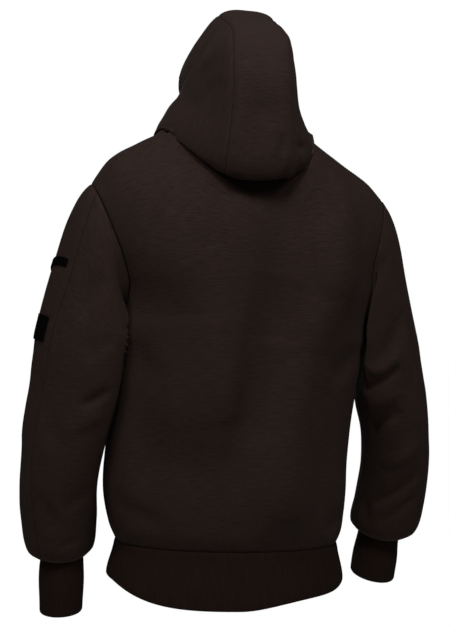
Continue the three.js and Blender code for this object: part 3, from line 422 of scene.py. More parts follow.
# ---- Sleeves ----
def armhole(side, round_):
    """The body's edge at an armhole, as if on the left: 180 is the underarm, and more is in front."""
    turned = np.where(round_ > 360 + SEAM_TOP, round_ - 360, round_)
    front = turned > 180
    share = np.where(front, (turned - 180) / (180 + SEAM_TOP), (180 - turned) / (180 - SEAM_TOP))
    v = mix(UNDERARM_V, 1, np.clip(share, 0, 1))
    across = np.full(np.shape(round_), float(side))
    edge = np.where(front[..., None], body_point("front", across, v), body_point("back", across, v))
    return edge if side > 0 else edge * FLIP


def arm_axes(pitch, lean):
    """Which way an arm's length, its back and its outer side point."""
    pitch, lean = np.radians(pitch), np.radians(lean)
    along = xyz(np.cos(pitch), -np.sin(pitch) * np.sin(lean), -np.sin(pitch) * np.cos(lean))
    back = xyz(np.zeros(lean.shape), np.cos(lean), -np.sin(lean))
    return along, back, np.cross(along, back)


def arm_point(side, rings, round_, v):
    """A sleeve as if on the left: degrees round it and its share from the armhole to the cuff."""
    round_, v = np.broadcast_arrays(np.asarray(round_, float), np.asarray(v, float))
    ring = {name: read(rings, name, v) for name in rings if name != "at"}
    along, back, outward = arm_axes(ring["pitch"], ring["lean"])
    turn, angle = np.radians(ring["turn"]), np.radians(round_)
    a, b = ring["out"] * np.cos(angle), ring["deep"] * np.sin(angle)
    oval = (
        xyz(ring["x"], ring["y"], ring["z"])
        + outward * (a * np.cos(turn) + b * np.sin(turn))[..., None]
        + back * (b * np.cos(turn) - a * np.sin(turn))[..., None]
    )
    join = np.clip(ring["join"], 0, 1)
    p = mix(oval, armhole(side, round_) + [ARMHOLE_GAP, 0, 0], join[..., None])
    least = side_reach(side, p[..., 1], p[..., 2]) + ARMHOLE_GAP + SLEEVE_CLEAR * (1 - join)
    p[..., 0] = at_least(least, p[..., 0], SLEEVE_BEND * (1 - join))
    return p


def sleeve_place(side_name, part):
    side, rings = ARMS[side_name][:2]

    def place(u, v):
        if side < 0:
            u = 1 - u
        seam = read(SEAM_ROUND, "round", v)
        if part == "under":
            round_ = mix(180 - SEAM_INSET, seam + SEAM_INSET, u)
        else:
            round_ = mix(360 - SEAM_INSET + seam, 180 + SEAM_INSET, u)
        p = arm_point(side, rings, round_, v)
        return p if side > 0 else p * FLIP

    return place


def cuff_place(side_name):
    side, rings, drop, shift_x, shift_y, spread = ARMS[side_name]
    end = {name: column[-1] for name, column in rings.items()}
    along, back, outward = arm_axes(end["pitch"], end["lean"])

    def place(u, v):
        if side < 0:
            u = 1 - u
        angle = -2 * math.pi * u
        swell = -CUFF_TUCK + spread * v + CUFF_SWELL * bump(2 * v - 1)
        p = (
            xyz(end["x"] + shift_x * v, end["y"] + shift_y * v, end["z"])
            + along * (SEAM_GAP + drop * v)[..., None]
            + outward * ((end["out"] + swell) * np.cos(angle))[..., None]
            + back * ((end["deep"] + swell) * np.sin(angle))[..., None]
        )
        return p if side > 0 else p * FLIP

    return place


# ---- Waistband ----
def band_top(u):
    """The waistband's seam, all round from one side of the zip (0) to the other (1)."""
    t = 2 - 4 * np.abs(u - 0.5)
    start = zip_edge(np.zeros(np.shape(u)))
    side = np.where(u < 0.5, 1, -1)
    level = np.full(np.shape(u), BAND_TOP_Z + SEAM_GAP / 2)
    front = section("front", side * np.sin(mix(np.arcsin(start), math.pi / 2, np.minimum(t, 1))), level)
    back = section("back", side * np.sin(np.maximum(0, 2 - np.maximum(t, 1)) * math.pi / 2), level)
    return np.where((t < 1)[..., None], front, back)


def band_place(u, v):
    top = band_top(u)
    x, y = top[..., 0], top[..., 1]
    back = ease(y / BAND_BACK_Y)
    front = ease((y - BAND_FRONT_FROM) / (BAND_FRONT_TO - BAND_FRONT_FROM))
    lift = back * BAND_LIFT * bump((x - BAND_LIFT_X) / BAND_LIFT_OVER)
    drop = BAND_SIDE + (BAND_BACK - BAND_SIDE) * back + (BAND_FRONT - BAND_SIDE) * front - lift
    spread = 1 + (BAND_BASE + BAND_FLARE * ease(1 - v)) / BAND_HALF
    return xyz(
        np.where(np.abs(x) < 2 * ZIP_HALF_GAP, x, x * spread),
        mix(BAND_MIDDLE_Y, y, spread),
        BAND_TOP_Z + SEAM_GAP / 2 - CURVED_GAP - drop * (1 - v),
    )


# ---- Hood ----
def neck_edge(side, round_):
    """The neck edge of the body, as if on the left: 0 at the back, 1 at the edge of the zip."""
    t = np.clip(round_, 0, 1) * 2
    start = zip_edge(np.ones(np.shape(t)))
    share = t * mix(t * t, 1, NECK_PACE)
    ones = np.ones(np.shape(t))
    back = body_point("back", side * across_at(0, np.clip(share, 0, 1) * CORNER_U), ones)
    front = body_point("front", side * across_at(start, (2 - np.maximum(t, 1)) * CORNER_U), ones)
    edge = np.where((t <= 1)[..., None], back, front)
    return np.where((side > 0)[..., None], edge, edge * FLIP)


def hood_point(round_, at):
    """The hood: round_ runs over each arch from 1 at its left end to -1, at from the neck to the face."""
    round_, at = np.broadcast_arrays(np.asarray(round_, float), np.asarray(at, float))
    last = len(HOOD_STOPS) - 1
    size = np.abs(round_) * last
    stop = np.minimum(last - 1, np.floor(size)).astype(int)
    t = (size - stop)[..., None]
    arches = np.stack(
        [xyz(*(read(HOOD, f"{name}_{axis}", at) for axis in "xyz")) for name in HOOD_STOPS]
    )
    arches = np.concatenate([arches[1:2] * FLIP, arches, arches[-1:]])

    def pick(k):
        return np.take_along_axis(arches, (stop + k)[None, ..., None], axis=0)[0]

    p0, p1, p2, p3 = pick(0), pick(1), pick(2), pick(3)
    end_slope = np.where((stop == last - 1)[..., None], p2 - p1, (p3 - p1) / 2)
    p = curve(t, p1, (p2 - p0) / 2, p2, end_slope)
    tuck = HOOD_TUCK * ease((at - TUCK_FROM) / (TUCK_TO - TUCK_FROM))
    p[..., 0] -= np.where(round_ < 0, tuck * ease((size - 1) / 2) * (1 - ease(size - 3)), 0)
    tie = 1 - ease(at / HOOD_TIE)
    p = mix(p, neck_edge(np.where(round_ < 0, -1, 1), np.abs(round_)) + [0, 0, CURVED_GAP], tie[..., None])
    clear = CURVED_GAP + HOOD_CLEAR * (1 - tie)
    lifted = at_least(shoulder_height(p[..., 0], p[..., 1]) + clear, p[..., 2], HOOD_BEND * (1 - tie))
    p[..., 2] = np.where(tie < 0.999, lifted, p[..., 2])
    p = np.where((round_ < 0)[..., None], p * FLIP, p)
    p[..., 0] += CROWN_LEAN_X * ease((p[..., 2] - CROWN_LEAN_FROM) / (CROWN_LEAN_TO - CROWN_LEAN_FROM))
    return p


def hood_left_place(u, v):
    return hood_point(mix(1, GUSSET_ROUND + GUSSET_INSET, u), v)


def hood_right_place(u, v):
    return hood_point(-mix(1, GUSSET_ROUND + GUSSET_INSET, 1 - u), v)


def gusset_place(u, v):
    edge = GUSSET_ROUND - GUSSET_INSET
    return hood_point(mix(edge, -edge, u), v)


# ---- Zip ----
BAND_SHARE = BAND_FRONT / (BAND_FRONT + ZIP_LENGTH)


def zip_line(t):
    """The middle of the zip, from the lower edge of the waistband (0) to the neck (1)."""
    t = np.asarray(t, float)
    on_band = band_place(np.zeros(t.shape), np.minimum(1, t / BAND_SHARE))
    on_body = body_point("front", np.zeros(t.shape), np.clip((t - BAND_SHARE) / (1 - BAND_SHARE), 0, 1))
    p = np.where((t < BAND_SHARE)[..., None], on_band, on_body)
    p[..., 0] = 0
    return p


def zip_facing(t):
    """Which way the zip faces."""
    up = zip_line(np.minimum(1, t + 0.01)) - zip_line(np.maximum(0, t - 0.01))
    return unit(xyz(np.zeros(np.shape(t)), -up[..., 2], up[..., 1]))


# ---- Cloth: relief on a form ----
STEP = 1e-3  # how far apart, in u and v, two places are taken to find which way a form faces


def facing(place, u, v, closed=False):
    """Outward normals of a form: u runs to the right and v up, seen from outside."""
    low, high = (u - STEP, u + STEP) if closed else (np.maximum(0, u - STEP), np.minimum(1, u + STEP))
    along = place(high, v) - place(low, v)
    up = place(u, np.minimum(1, v + STEP)) - place(u, np.maximum(0, v - STEP))
    return unit(np.cross(along, up))


# Creases, each a soft trough (depth in, -) or ridge (out, +) along a line between two places of the cloth.
# near and far: how wide it is on its two sides; bow: how far its middle bends across.
CREASES = table(
    "x0 y0 z0 x1 y1 z1 near far depth bow",
    # Back: the hollow of the spine and the two long ridges beside it, then the fullness over the waistband.
    (-56, 106, -60, -34, 118, -330, 40, 40, -12, 8),
    (-36, 118, -230, 4, 118, -480, 40, 44, -7, -8),
    (-142, 86, -60, -94, 114, -340, 30, 36, 9, -8),
    (-106, 112, -260, -50, 117, -590, 34, 36, 11, 10),
    (112, 90, -70, 96, 104, -290, 36, 40, 6, 8),
    (84, 114, -190, 44, 120, -450, 36, 40, 8, -4),
    (170, 50, -215, 84, 110, -235, 60, 44, 6, 0),
    (-90, 112, -230, -168, 66, -215, 60, 44, 6, 0),
    (156, 66, -410, 16, 118, -430, 80, 50, 9, 4),
    (170, 60, -505, 10, 118, -525, 50, 60, -8, 4),
    (-6, 118, -585, -110, 108, -565, 80, 34, 8, 0),
    (170, 48, -330, 124, 94, -390, 18, 24, -4, 6),
    (-172, 52, -330, -120, 92, -380, 16, 22, -6, -6),
    (175, 25, -560, 120, 92, -600, 14, 18, -5, 5),
    (-178, 22, -575, -130, 84, -610, 14, 16, -5, -5),
    # Left side seam, just over the band.
    (188, 14, -598, 168, 30, -636, 5, 6, -3.5, 2),
    # Left sleeve: armpit, elbow and the fullness over the cuff.
    (212, 58, -235, 250, 52, -300, 12, 18, -4, 4),
    (196, 52, -330, 240, 52, -365, 10, 16, -3.5, 5),
    (200, 54, -402, 246, 55, -432, 6, 10, -6, -3),
    (205, 50, -440, 262, 48, -475, 10, 16, 3, 4),
    (290, 30, -420, 262, 46, -500, 10, 18, -2.5, 6),
    (215, 20, -560, 262, 22, -590, 10, 14, -3, 4),
    (300, 2, -560, 270, 24, -622, 10, 14, -3, -5),
    (312, -20, -480, 306, -4, -560, 12, 14, -2.5, 4),
    (225, 6, -630, 262, 12, -646, 5, 6, -2.5, 2),
    # Right sleeve: it is bent more, with a sharp fold inside the elbow.
    (-262, 42, -270, -205, 54, -362, 12, 20, -8, -8),
    (-252, 44, -335, -204, 48, -372, 10, 10, 6, -5),
    (-254, 46, -358, -194, 22, -400, 6, 11, -12, -4),
    (-264, 40, -395, -206, 20, -430, 10, 14, 6, 4),
    (-264, 36, -425, -212, 0, -485, 9, 16, -8, 6),
    (-302, 18, -470, -246, 16, -520, 10, 12, 5, -5),
    (-306, 8, -520, -236, -14, -585, 7, 12, -7, -6),
    (-316, -4, -560, -252, -22, -618, 7, 9, -5, 5),
    (-240, -28, -560, -236, -30, -620, 8, 9, -4, 4),
    (-224, 54, -190, -204, 56, -240, 8, 12, -4, 4),
    (-300, 20, -330, -280, 30, -420, 12, 16, -2.5, 8),
    # The fronts hang from the chest: long soft hollows beside the zip and a pull at each armhole.
    (70, -138, -180, 60, -156, -560, 26, 30, -5, 8),
    (-75, -138, -200, -58, -156, -580, 26, 30, -5, -8),
    (130, -115, -200, 120, -135, -540, 24, 26, 4, -6),
    (-128, -118, -180, -118, -135, -520, 24, 26, 4, 6),
    (178, -76, -300, 120, -118, -390, 14, 20, -4, 8),
    (-178, -78, -300, -118, -120, -400, 14, 20, -4, -8),
    (60, -146, -600, 110, -136, -560, 16, 18, -3, 4),
    (-80, -145, -610, -130, -128, -570, 16, 18, -3, -4),
    # Fronts of the sleeves.
    (212, -66, -250, 256, -58, -320, 12, 16, -4, 4),
    (206, -52, -400, 262, -58, -430, 8, 12, -5, -4),
    (230, -64, -520, 290, -66, -560, 10, 14, -4, 4),
    (-214, -66, -250, -258, -60, -320, 12, 16, -4, -4),
    (-212, -62, -390, -268, -66, -420, 8, 12, -5, 4),
    (-236, -88, -510, -300, -90, -550, 10, 14, -4, -4),
    # Hood: it sags above its lower edge on each side, and the crown sinks a little beside the gusset.
    (124, -60, -10, 110, 56, -34, 10, 9, 7, 0),
    (-100, -10, -6, -88, 60, -38, 9, 10, 6, 0),
    (64, 104, -62, 112, 40, -30, 8, 10, 2.5, 0),
    (98, 0, 60, 84, 78, 10, 14, 20, -3, 5),
    (60, 104, 62, 84, 40, 20, 14, 18, -1.5, -4),
    (118, -52, 6, 100, 40, 0, 10, 14, 3, 6),
    (64, 92, 52, 36, 132, 44, 8, 10, -1.2, 2),
    (-30, 140, -20, -26, 140, -76, 5, 8, -4, 0),
    (-48, 134, -34, -80, 92, -34, 8, 8, -4, 3),
    (-98, 0, 60, -84, 70, 14, 12, 18, -4, -5),
    (-110, -52, 12, -96, 40, 4, 10, 14, 3, -6),
    (60, 20, 120, 66, 64, 90, 12, 14, 2.5, 4),
    (24, 124, 80, -14, 136, 20, 16, 18, 2, 0),
)


CREASE_FADE = 0.7  # below 1 a crease keeps its depth for longer before it fades at its ends


def crease_depth(points, normals):
    """How far the creases move each point along its normal."""
    depth = np.zeros(points.shape[:-1])
    for i in range(len(CREASES["x0"])):
        start = np.array([CREASES[name][i] for name in ("x0", "y0", "z0")])
        end = np.array([CREASES[name][i] for name in ("x1", "y1", "z1")])
        near, far, height, bow = (CREASES[name][i] for name in ("near", "far", "depth", "bow"))
        line = end - start
        length = np.linalg.norm(line)
        line = line / length
        along = ((points - start) @ line) / length
        fade = np.clip(1 - (2 * along - 1) ** 2, 0, 1) ** CREASE_FADE
        across = unit(np.cross(line, normals))
        off = points - start - (along * length)[..., None] * line
        side = np.sum(off * across, axis=-1) - bow * np.clip(4 * along * (1 - along), 0, 1)
        lift = np.sum(off * normals, axis=-1)
        width = np.where(side > 0, far, near)
        depth += height * fade * np.exp(-((side / width) ** 2) - (lift / (near + far)) ** 2)
    return depth


SCATTER = (73856093, 19349663, 83492791, 1274126177)  # large odd numbers that mix a cell's own number


def smooth_noise(points, sizes, seed):
    """Soft uneven relief from -1 to 1: sizes are how far apart its hills lie along x, y and z."""
    p = points / np.asarray(sizes, float) + seed * 17.31
    cell = np.floor(p).astype(np.int64)
    t = p - cell
    t = t * t * (3 - 2 * t)
    total = np.zeros(points.shape[:-1])
    for corner in range(8):
        step = np.array([(corner >> k) & 1 for k in range(3)])
        c = cell + step
        mixed = (c[..., 0] * SCATTER[0]) ^ (c[..., 1] * SCATTER[1]) ^ (c[..., 2] * SCATTER[2])
        mixed = (mixed ^ (mixed >> 13)) * SCATTER[3]
        value = ((mixed ^ (mixed >> 16)) & 0xFFFF) / 32767.5 - 1
        total += value * np.prod(np.where(step == 1, t, 1 - t), axis=-1)
    return total


def lengths(points, axis):
    """Length along the cloth from the first row or column to each point."""
    steps = np.linalg.norm(np.diff(points, axis=axis), axis=-1)
    start = np.zeros_like(np.take(steps, [0], axis=axis))
    return np.concatenate([start, np.cumsum(steps, axis=axis)], axis=axis)


def on_line(places, along, line):
    """Points of a line, or its normals, at the places given as lengths along it."""
    return np.stack([np.interp(places, along, line[:, k]) for k in range(3)], axis=-1)


def edge_distances(points):
    """For each point of a grid, how far it is from the left, right, lower and upper edges."""
    across, up = lengths(points, 1), lengths(points, 0)
    return {"left": across, "right": across[:, -1:] - across, "low": up, "high": up[-1:] - up}


# By piece: its outer points, their normals, how far each is from the edges, and the grid's u and v.
GRIDS = {}

ROLL_DEPTH = 0.42  # how far each face of a folded edge turns in, as a share of the thickness
SHARP_ANGLE = 55  # edges of cloth that turn more than this many degrees stay sharp
SEAM_ALLOWANCE = 0.9  # how far the inside of a piece reaches under the next one
# An edge's own row or column of a grid, and the one next to it.
EDGE_ROWS = {
    "left": (np.s_[:, 0], np.s_[:, 1]),
    "right": (np.s_[:, -1], np.s_[:, -2]),
    "low": (np.s_[0], np.s_[1]),
    "high": (np.s_[-1], np.s_[-2]),
}


def shell(name, place, us, vs, thick, relief, finish, closed=False, turned=False, roll=(), sewn=()):
    """A thin piece of cloth: its outer face on a form with its relief, its inner face moved in, its edges.
    finish: the materials of its outside and inside, and a slot, which is not used; turned: the pattern runs up
    the piece instead of across it; roll: edges that are folded over and so round; sewn: edges that go under
    the next piece, so that no light comes through the seam."""
    u, v = np.meshgrid(us, vs)
    base = place(u, v)
    normals = facing(place, u, v, closed)
    edges = edge_distances(base)
    form, raised = relief(u, base, normals, edges)
    thickness = np.broadcast_to(thick, u.shape)
    outer = base + normals * (form + raised)[..., None]
    inner = base + normals * (form - thickness)[..., None]
    for edge in roll:
        near = np.clip(1 - edges[edge] / thickness, 0, 1)[..., None] ** 2
        outer -= normals * thickness[..., None] * ROLL_DEPTH * near
        inner += normals * thickness[..., None] * ROLL_DEPTH * near
    for edge in sewn:
        last, before = EDGE_ROWS[edge]
        inner[last] += unit(base[last] - base[before]) * SEAM_ALLOWANCE
    GRIDS[name] = (outer, normals, edge_distances(outer), us, vs)
    rows, columns = u.shape
    count = rows * columns
    spans = columns if closed else columns - 1
    j, i = np.meshgrid(np.arange(rows - 1), np.arange(spans), indexing="ij")
    a = (j * columns + i).ravel()
    b = (j * columns + (i + 1) % columns).ravel()
    front = np.stack([a, b, b + columns, a + columns], axis=1)
    back = np.stack([b, a, a + columns, b + columns], axis=1) + count
    first = np.arange(spans)
    following = (first + 1) % columns
    top = (rows - 1) * columns
    rims = [
        np.stack([count + first, count + following, following, first], axis=1),
        np.stack([top + first, top + following, count + top + following, count + top + first], axis=1),
    ]
    if not closed:
        left = np.arange(rows - 1) * columns
        right = left + columns - 1
        rims.append(np.stack([left, left + columns, count + left + columns, count + left], axis=1))
        rims.append(np.stack([right + columns, right, count + right, count + right + columns], axis=1))
    faces = np.concatenate([front, back] + rims)
    points = np.concatenate([outer.reshape(-1, 3), inner.reshape(-1, 3)])
    cloth_u = edges["left"] - edges["left"][:, columns // 2 : columns // 2 + 1]
    cloth_v = np.broadcast_to(np.mean(edges["low"], axis=1, keepdims=True), u.shape)
    pattern = (cloth_v, cloth_u) if turned else (cloth_u, cloth_v)
    uv = np.tile(np.stack(pattern, axis=-1).reshape(-1, 2), (2, 1)) / MM
    inside = np.zeros(len(faces), dtype=np.int32)
    inside[len(front) : 2 * len(front)] = 1
    piece = mesh_piece(name, points, faces, finish[:2], uv, inside)
    piece.data.set_sharp_from_angle(angle=math.radians(SHARP_ANGLE))
    return piece


def mesh_piece(name, points, faces, materials, uv=None, material_index=None):
    """Points in millimetres and faces become one object that rides on the garment."""
    mesh = bpy.data.meshes.new(name)
    mesh.from_pydata((np.asarray(points) / MM).tolist(), [], [[int(k) for k in face] for face in faces])
    for material in materials:
        mesh.materials.append(material)
    mesh.polygons.foreach_set("use_smooth", np.ones(len(mesh.polygons), dtype=bool))
    if material_index is not None:
        mesh.polygons.foreach_set("material_index", material_index)
    if uv is not None:
        corners = np.empty(len(mesh.loops), dtype=np.int32)
        mesh.loops.foreach_get("vertex_index", corners)
        layer = mesh.uv_layers.new(name="cloth")
        layer.data.foreach_set("uv", uv[corners].astype(np.float32).ravel())
    mesh.update()
    piece = bpy.data.objects.new(name, mesh)
    bpy.context.scene.collection.objects.link(piece)
    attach(piece, BODY_NAME)
    return piece


def nearest(edges, names):
    return np.minimum.reduce([edges[name] for name in names])


# The relief of sewn cloth: the heights of its larger and smaller hills, how near a seam they and the creases
# die out, and how deep and wide the seam sinks.
HILL_HEIGHT, RIPPLE_HEIGHT = 1.3, 0.45
SEAM_FADE, SEAM_DIP, SEAM_WIDTH = 16, 0.9, 2.6
# A row of stitches: how deep and wide it pulls the cloth down, and how far the cloth puffs up beside it.
STITCH_DIP, STITCH_WIDTH, STITCH_PUFF = 0.55, 1.7, 0.25


def dip(distance, width):
    """A soft dip: 1 at a distance of 0, and nearly 0 at two widths."""
    return np.exp(-((distance / width) ** 2))


def cloth_relief(seams, wave, ripple, stitched=None):
    """The relief of a sewn panel: creases and soft hills that die out at its seams, which sink a little.
    stitched: how far from those seams a row of stitches pulls the cloth down, by edge."""

    def relief(u, base, normals, edges):
        near = nearest(edges, seams)
        hills = HILL_HEIGHT * smooth_noise(base, wave, 1) + RIPPLE_HEIGHT * smooth_noise(base, ripple, 2)
        form = (crease_depth(base, normals) + hills) * ease(near / SEAM_FADE)
        form -= SEAM_DIP * dip(near, SEAM_WIDTH)
        for edge, distance in (stitched or {}).items():
            form -= STITCH_DIP * dip(edges[edge] - distance, STITCH_WIDTH)
            form += STITCH_PUFF * dip(edges[edge] - distance / 2, distance / 3)
        return form, np.zeros(form.shape)

    return relief


# ---- Stitches ----
def edge_run(name, edge, distance, start=0.0, end=1.0):
    """A line on a piece at a set distance from one of its edges: points and normals."""
    outer, normals, edges = GRIDS[name][:3]
    if edge in ("low", "high"):
        outer, normals = outer.transpose(1, 0, 2), normals.transpose(1, 0, 2)
        far = edges[edge].T
    else:
        far = edges[edge]
    if edge in ("right", "high"):
        outer, normals, far = outer[:, ::-1], normals[:, ::-1], far[:, ::-1]
    first, last = round(start * (len(far) - 1)), round(end * (len(far) - 1))
    rows = range(first, last + 1)
    points = np.array([on_line(distance, far[j], outer[j]) for j in rows])
    return points, unit(np.array([on_line(distance, far[j], normals[j]) for j in rows]))


# One stitch: a thin spindle of thread, in half lengths and half widths.
WAIST = [(0.8, 0), (0, 1), (-0.8, 0)]
SPINDLE = np.array([(-1, 0, 0), *((-0.55, *p) for p in WAIST), *((0.55, *p) for p in WAIST), (1, 0, 0)])
SPINDLE_SIDES = [(1, 2, 5, 4), (2, 3, 6, 5)]
SPINDLE_FACES = [(0, 2, 1), (0, 3, 2), *SPINDLE_SIDES, (4, 5, 7), (5, 6, 7), (0, 1, 4, 3), (4, 7, 6, 3)]
SPINDLE_HIGH = 0.6  # its height, as a share of the thread's thickness


def stitch_piece(name, runs, material, sizes):
    """Small spindles of thread, one after the other along each run."""
    pitch, long, thick = sizes.stitch_pitch * MM, sizes.stitch_length * MM, sizes.thread * MM
    shape = SPINDLE * [long / 2, thick / 2, thick * SPINDLE_HIGH]
    points, faces = [], []
    for line, normals in runs:
        along = lengths(line, 0)
        places = np.arange(pitch, along[-1] - pitch, pitch)
        centre = on_line(places, along, line)
        up = unit(on_line(places, along, normals))
        forward = unit(on_line(places + pitch / 2, along, line) - centre)
        side = np.cross(up, forward)
        for c, f, s, n in zip(centre, forward, side, up):
            faces += [[len(points) + k for k in face] for face in SPINDLE_FACES]
            points += list(c + shape[:, :1] * f + shape[:, 1:2] * s + shape[:, 2:] * n)
    return mesh_piece(name, points, faces, [material])


# ---- Materials ----
def linear(code):
    """An sRGB hex colour as linear red, green, blue and alpha."""
    parts = [int(code[k : k + 2], 16) / 255 for k in (1, 3, 5)]
    return [c / 12.92 if c <= 0.04045 else ((c + 0.055) / 1.055) ** 2.4 for c in parts] + [1.0]


def add(tree, kind, settings=()):
    """A node with its settings and links. A number or name is looked for among its inputs first, and a value
    that is a socket is linked."""
    node = tree.nodes.new(kind)
    for name, value in dict(settings).items():
        if not (isinstance(name, int) or name in node.inputs):
            setattr(node, name, value)
        elif isinstance(value, bpy.types.NodeSocket):
            tree.links.new(value, node.inputs[name])
        else:
            node.inputs[name].default_value = value
    return node


def new_material(name, colour):
    material = bpy.data.materials.new(name)
    material.use_nodes = True
    material.diffuse_color = colour
    material.node_tree.nodes.clear()
    return material, material.node_tree


def finish_material(tree, settings):
    shader = add(tree, "ShaderNodeBsdfPrincipled", settings)
    add(tree, "ShaderNodeOutputMaterial", {"Surface": shader.outputs["BSDF"]})


def on_cloth(tree, across, along):
    """The cloth's own coordinates, divided by the size of a pattern each way in millimetres."""
    place = add(tree, "ShaderNodeUVMap", {"uv_map": "cloth"})
    scale = (MM / across, MM / along, 1)
    return add(tree, "ShaderNodeMapping", {"Scale": scale, "Vector": place.outputs["UV"]}).outputs["Vector"]


def uneven(tree, size, detail, roughness):
    """Uneven streaks or flecks, from their size across and along the cloth in millimetres."""
    settings = {"noise_dimensions": "2D", "Scale": 1.0, "Detail": detail, "Roughness": roughness}
    return add(tree, "ShaderNodeTexNoise", {**settings, "Vector": on_cloth(tree, *size)}).outputs["Fac"]


def shaded(tree, height, part, dark, light):
    """A colour that turns lighter over one part, low to high, of a pattern's height."""
    share = add(tree, "ShaderNodeMapRange", {"clamp": True, 0: height, 1: part[0], 2: part[1]})
    settings = {"data_type": "RGBA", 0: share.outputs["Result"], 6: dark, 7: light}
    return add(tree, "ShaderNodeMix", settings).outputs[2]


def marl_fleece(name, sizes, dark, light):
    """Sweatshirt fleece: a cotton and polyester jersey knitted from a marl yarn, brushed on the back.
    The eye gets a deep matte brown-black, broken by short paler streaks that run along the courses of the
    knit where the paler fibres of the yarn come up, and a soft nap that blurs the small shadows."""
    material, tree = new_material(name, dark)
    long, wide = sizes.marl_length * MM, sizes.marl_width * MM
    # Long streaks, then flecks half as long. Both are coarser than the real fibres, so that they still show.
    streaks = uneven(tree, (long, wide), 3.0, 0.55)
    flecks = uneven(tree, (long * 0.5, wide * 0.62), 2.0, 0.5)
    colour = shaded(tree, flecks, (0.42, 0.8), shaded(tree, streaks, (0.32, 0.7), dark, light), light)
    # Courses and wales of the jersey, 1.2 mm apart, drawn twice as coarse so that they still show.
    coarse = 2 * sizes.knit_pitch * MM
    settings = {"voronoi_dimensions": "2D", "Scale": 1.0, "Randomness": 0.55}
    settings["Vector"] = on_cloth(tree, coarse, coarse)
    loops = add(tree, "ShaderNodeTexVoronoi", settings).outputs["Distance"]
    settings = {"Strength": 0.22, "Distance": 0.0005, "invert": True, "Height": loops}
    knit = add(tree, "ShaderNodeBump", settings).outputs["Normal"]
    settings = {"Strength": 0.2, "Distance": 0.0006, "Height": streaks, "Normal": knit}
    nap = add(tree, "ShaderNodeBump", settings).outputs["Normal"]
    settings = {"Base Color": colour, "Roughness": 0.92, "Specular IOR Level": 0.2, "Normal": nap}
    finish_material(tree, {**settings, "Sheen Weight": 0.06, "Sheen Roughness": 0.5, "Sheen Tint": light})
    return material


def brushed_back(name, light, dark):
    """The raised back of the fleece, inside the garment: a soft fluffy nap without the marl's streaks."""
    material, tree = new_material(name, dark)
    fluff = uneven(tree, (3.2, 3.2), 4.0, 0.65)
    colour = shaded(tree, fluff, (0.35, 0.7), dark, light)
    raised = add(tree, "ShaderNodeBump", {"Strength": 0.5, "Distance": 0.001, "Height": fluff})
    settings = {"Base Color": colour, "Normal": raised.outputs["Normal"], "Roughness": 1.0}
    settings["Specular IOR Level"] = 0.15
    finish_material(tree, {**settings, "Sheen Weight": 0.25, "Sheen Roughness": 0.6})
    return material


def rib_knit(name, sizes, dark, light):
    """Two-by-two rib knit with elastane, in plain-dyed yarn: a little darker than the fleece and without its
    sheen, with fine wales that run down it. The fibres are coarser than real ones, so that they show."""
    material, tree = new_material(name, dark)
    wales = uneven(tree, (sizes.knit_pitch * MM, 26), 2.0, 0.5)
    fibres = uneven(tree, (1.6, 1.6), 3.0, 0.6)
    colour = shaded(tree, wales, (0.4, 0.72), dark, light)
    raised = add(tree, "ShaderNodeBump", {"Strength": 0.3, "Distance": 0.0004, "Height": fibres})
    settings = {"Base Color": colour, "Normal": raised.outputs["Normal"], "Roughness": 0.92}
    settings["Specular IOR Level"] = 0.1
    finish_material(tree, {**settings, "Sheen Weight": 0.0, "Sheen Roughness": 0.5})
    return material


def woven_tape(name, rough, colour, light):
    """Flat woven polyester tape: an even weft a little under a millimetre apart, with a faint cool gloss."""
    material, tree = new_material(name, colour)
    settings = {"wave_type": "BANDS", "bands_direction": "Y", "Scale": 1.0, "Distortion": 0.6, "Detail": 1.0}
    settings["Vector"] = on_cloth(tree, 2.6, 2.6)
    weft = add(tree, "ShaderNodeTexWave", settings).outputs["Fac"]
    mixed = shaded(tree, weft, (0.2, 0.9), colour, light)
    raised = add(tree, "ShaderNodeBump", {"Strength": 0.35, "Distance": 0.0003, "Height": weft})
    settings = {"Base Color": mixed, "Normal": raised.outputs["Normal"], "Roughness": rough}
    finish_material(tree, {**settings, "Specular IOR Level": 0.03})
    return material


def thread(name, colour):
    """Spun polyester sewing thread, dyed to the cloth: slightly glossier than what it is sewn into."""
    material, tree = new_material(name, colour)
    finish_material(tree, {"Base Color": colour, "Roughness": 0.6, "Specular IOR Level": 0.4})
    return material


def antique_brass(name, colour, worn):
    """Cast and plated zip metal with an antique finish: dark in the recesses, rubbed paler on the edges."""
    material, tree = new_material(name, colour)
    place = add(tree, "ShaderNodeTexCoord").outputs["Object"]
    across = MM / 2  # patches about 2 mm wide
    settings = {"Scale": (across, across, across), "Vector": place}
    size = add(tree, "ShaderNodeMapping", settings).outputs["Vector"]
    patches = add(tree, "ShaderNodeTexNoise", {"Scale": 1.0, "Detail": 3.0, "Vector": size}).outputs["Fac"]
    edges = add(tree, "ShaderNodeNewGeometry").outputs["Pointiness"]
    colour = shaded(tree, edges, (0.52, 0.62), shaded(tree, patches, (0.4, 0.7), colour, worn), worn)
    rough = add(tree, "ShaderNodeMapRange", {"clamp": True, 0: patches, 1: -0.6, 2: 1.8}).outputs["Result"]
    finish_material(tree, {"Metallic": 1.0, "Base Color": colour, "Roughness": rough})
    return material


MATERIALS = {}


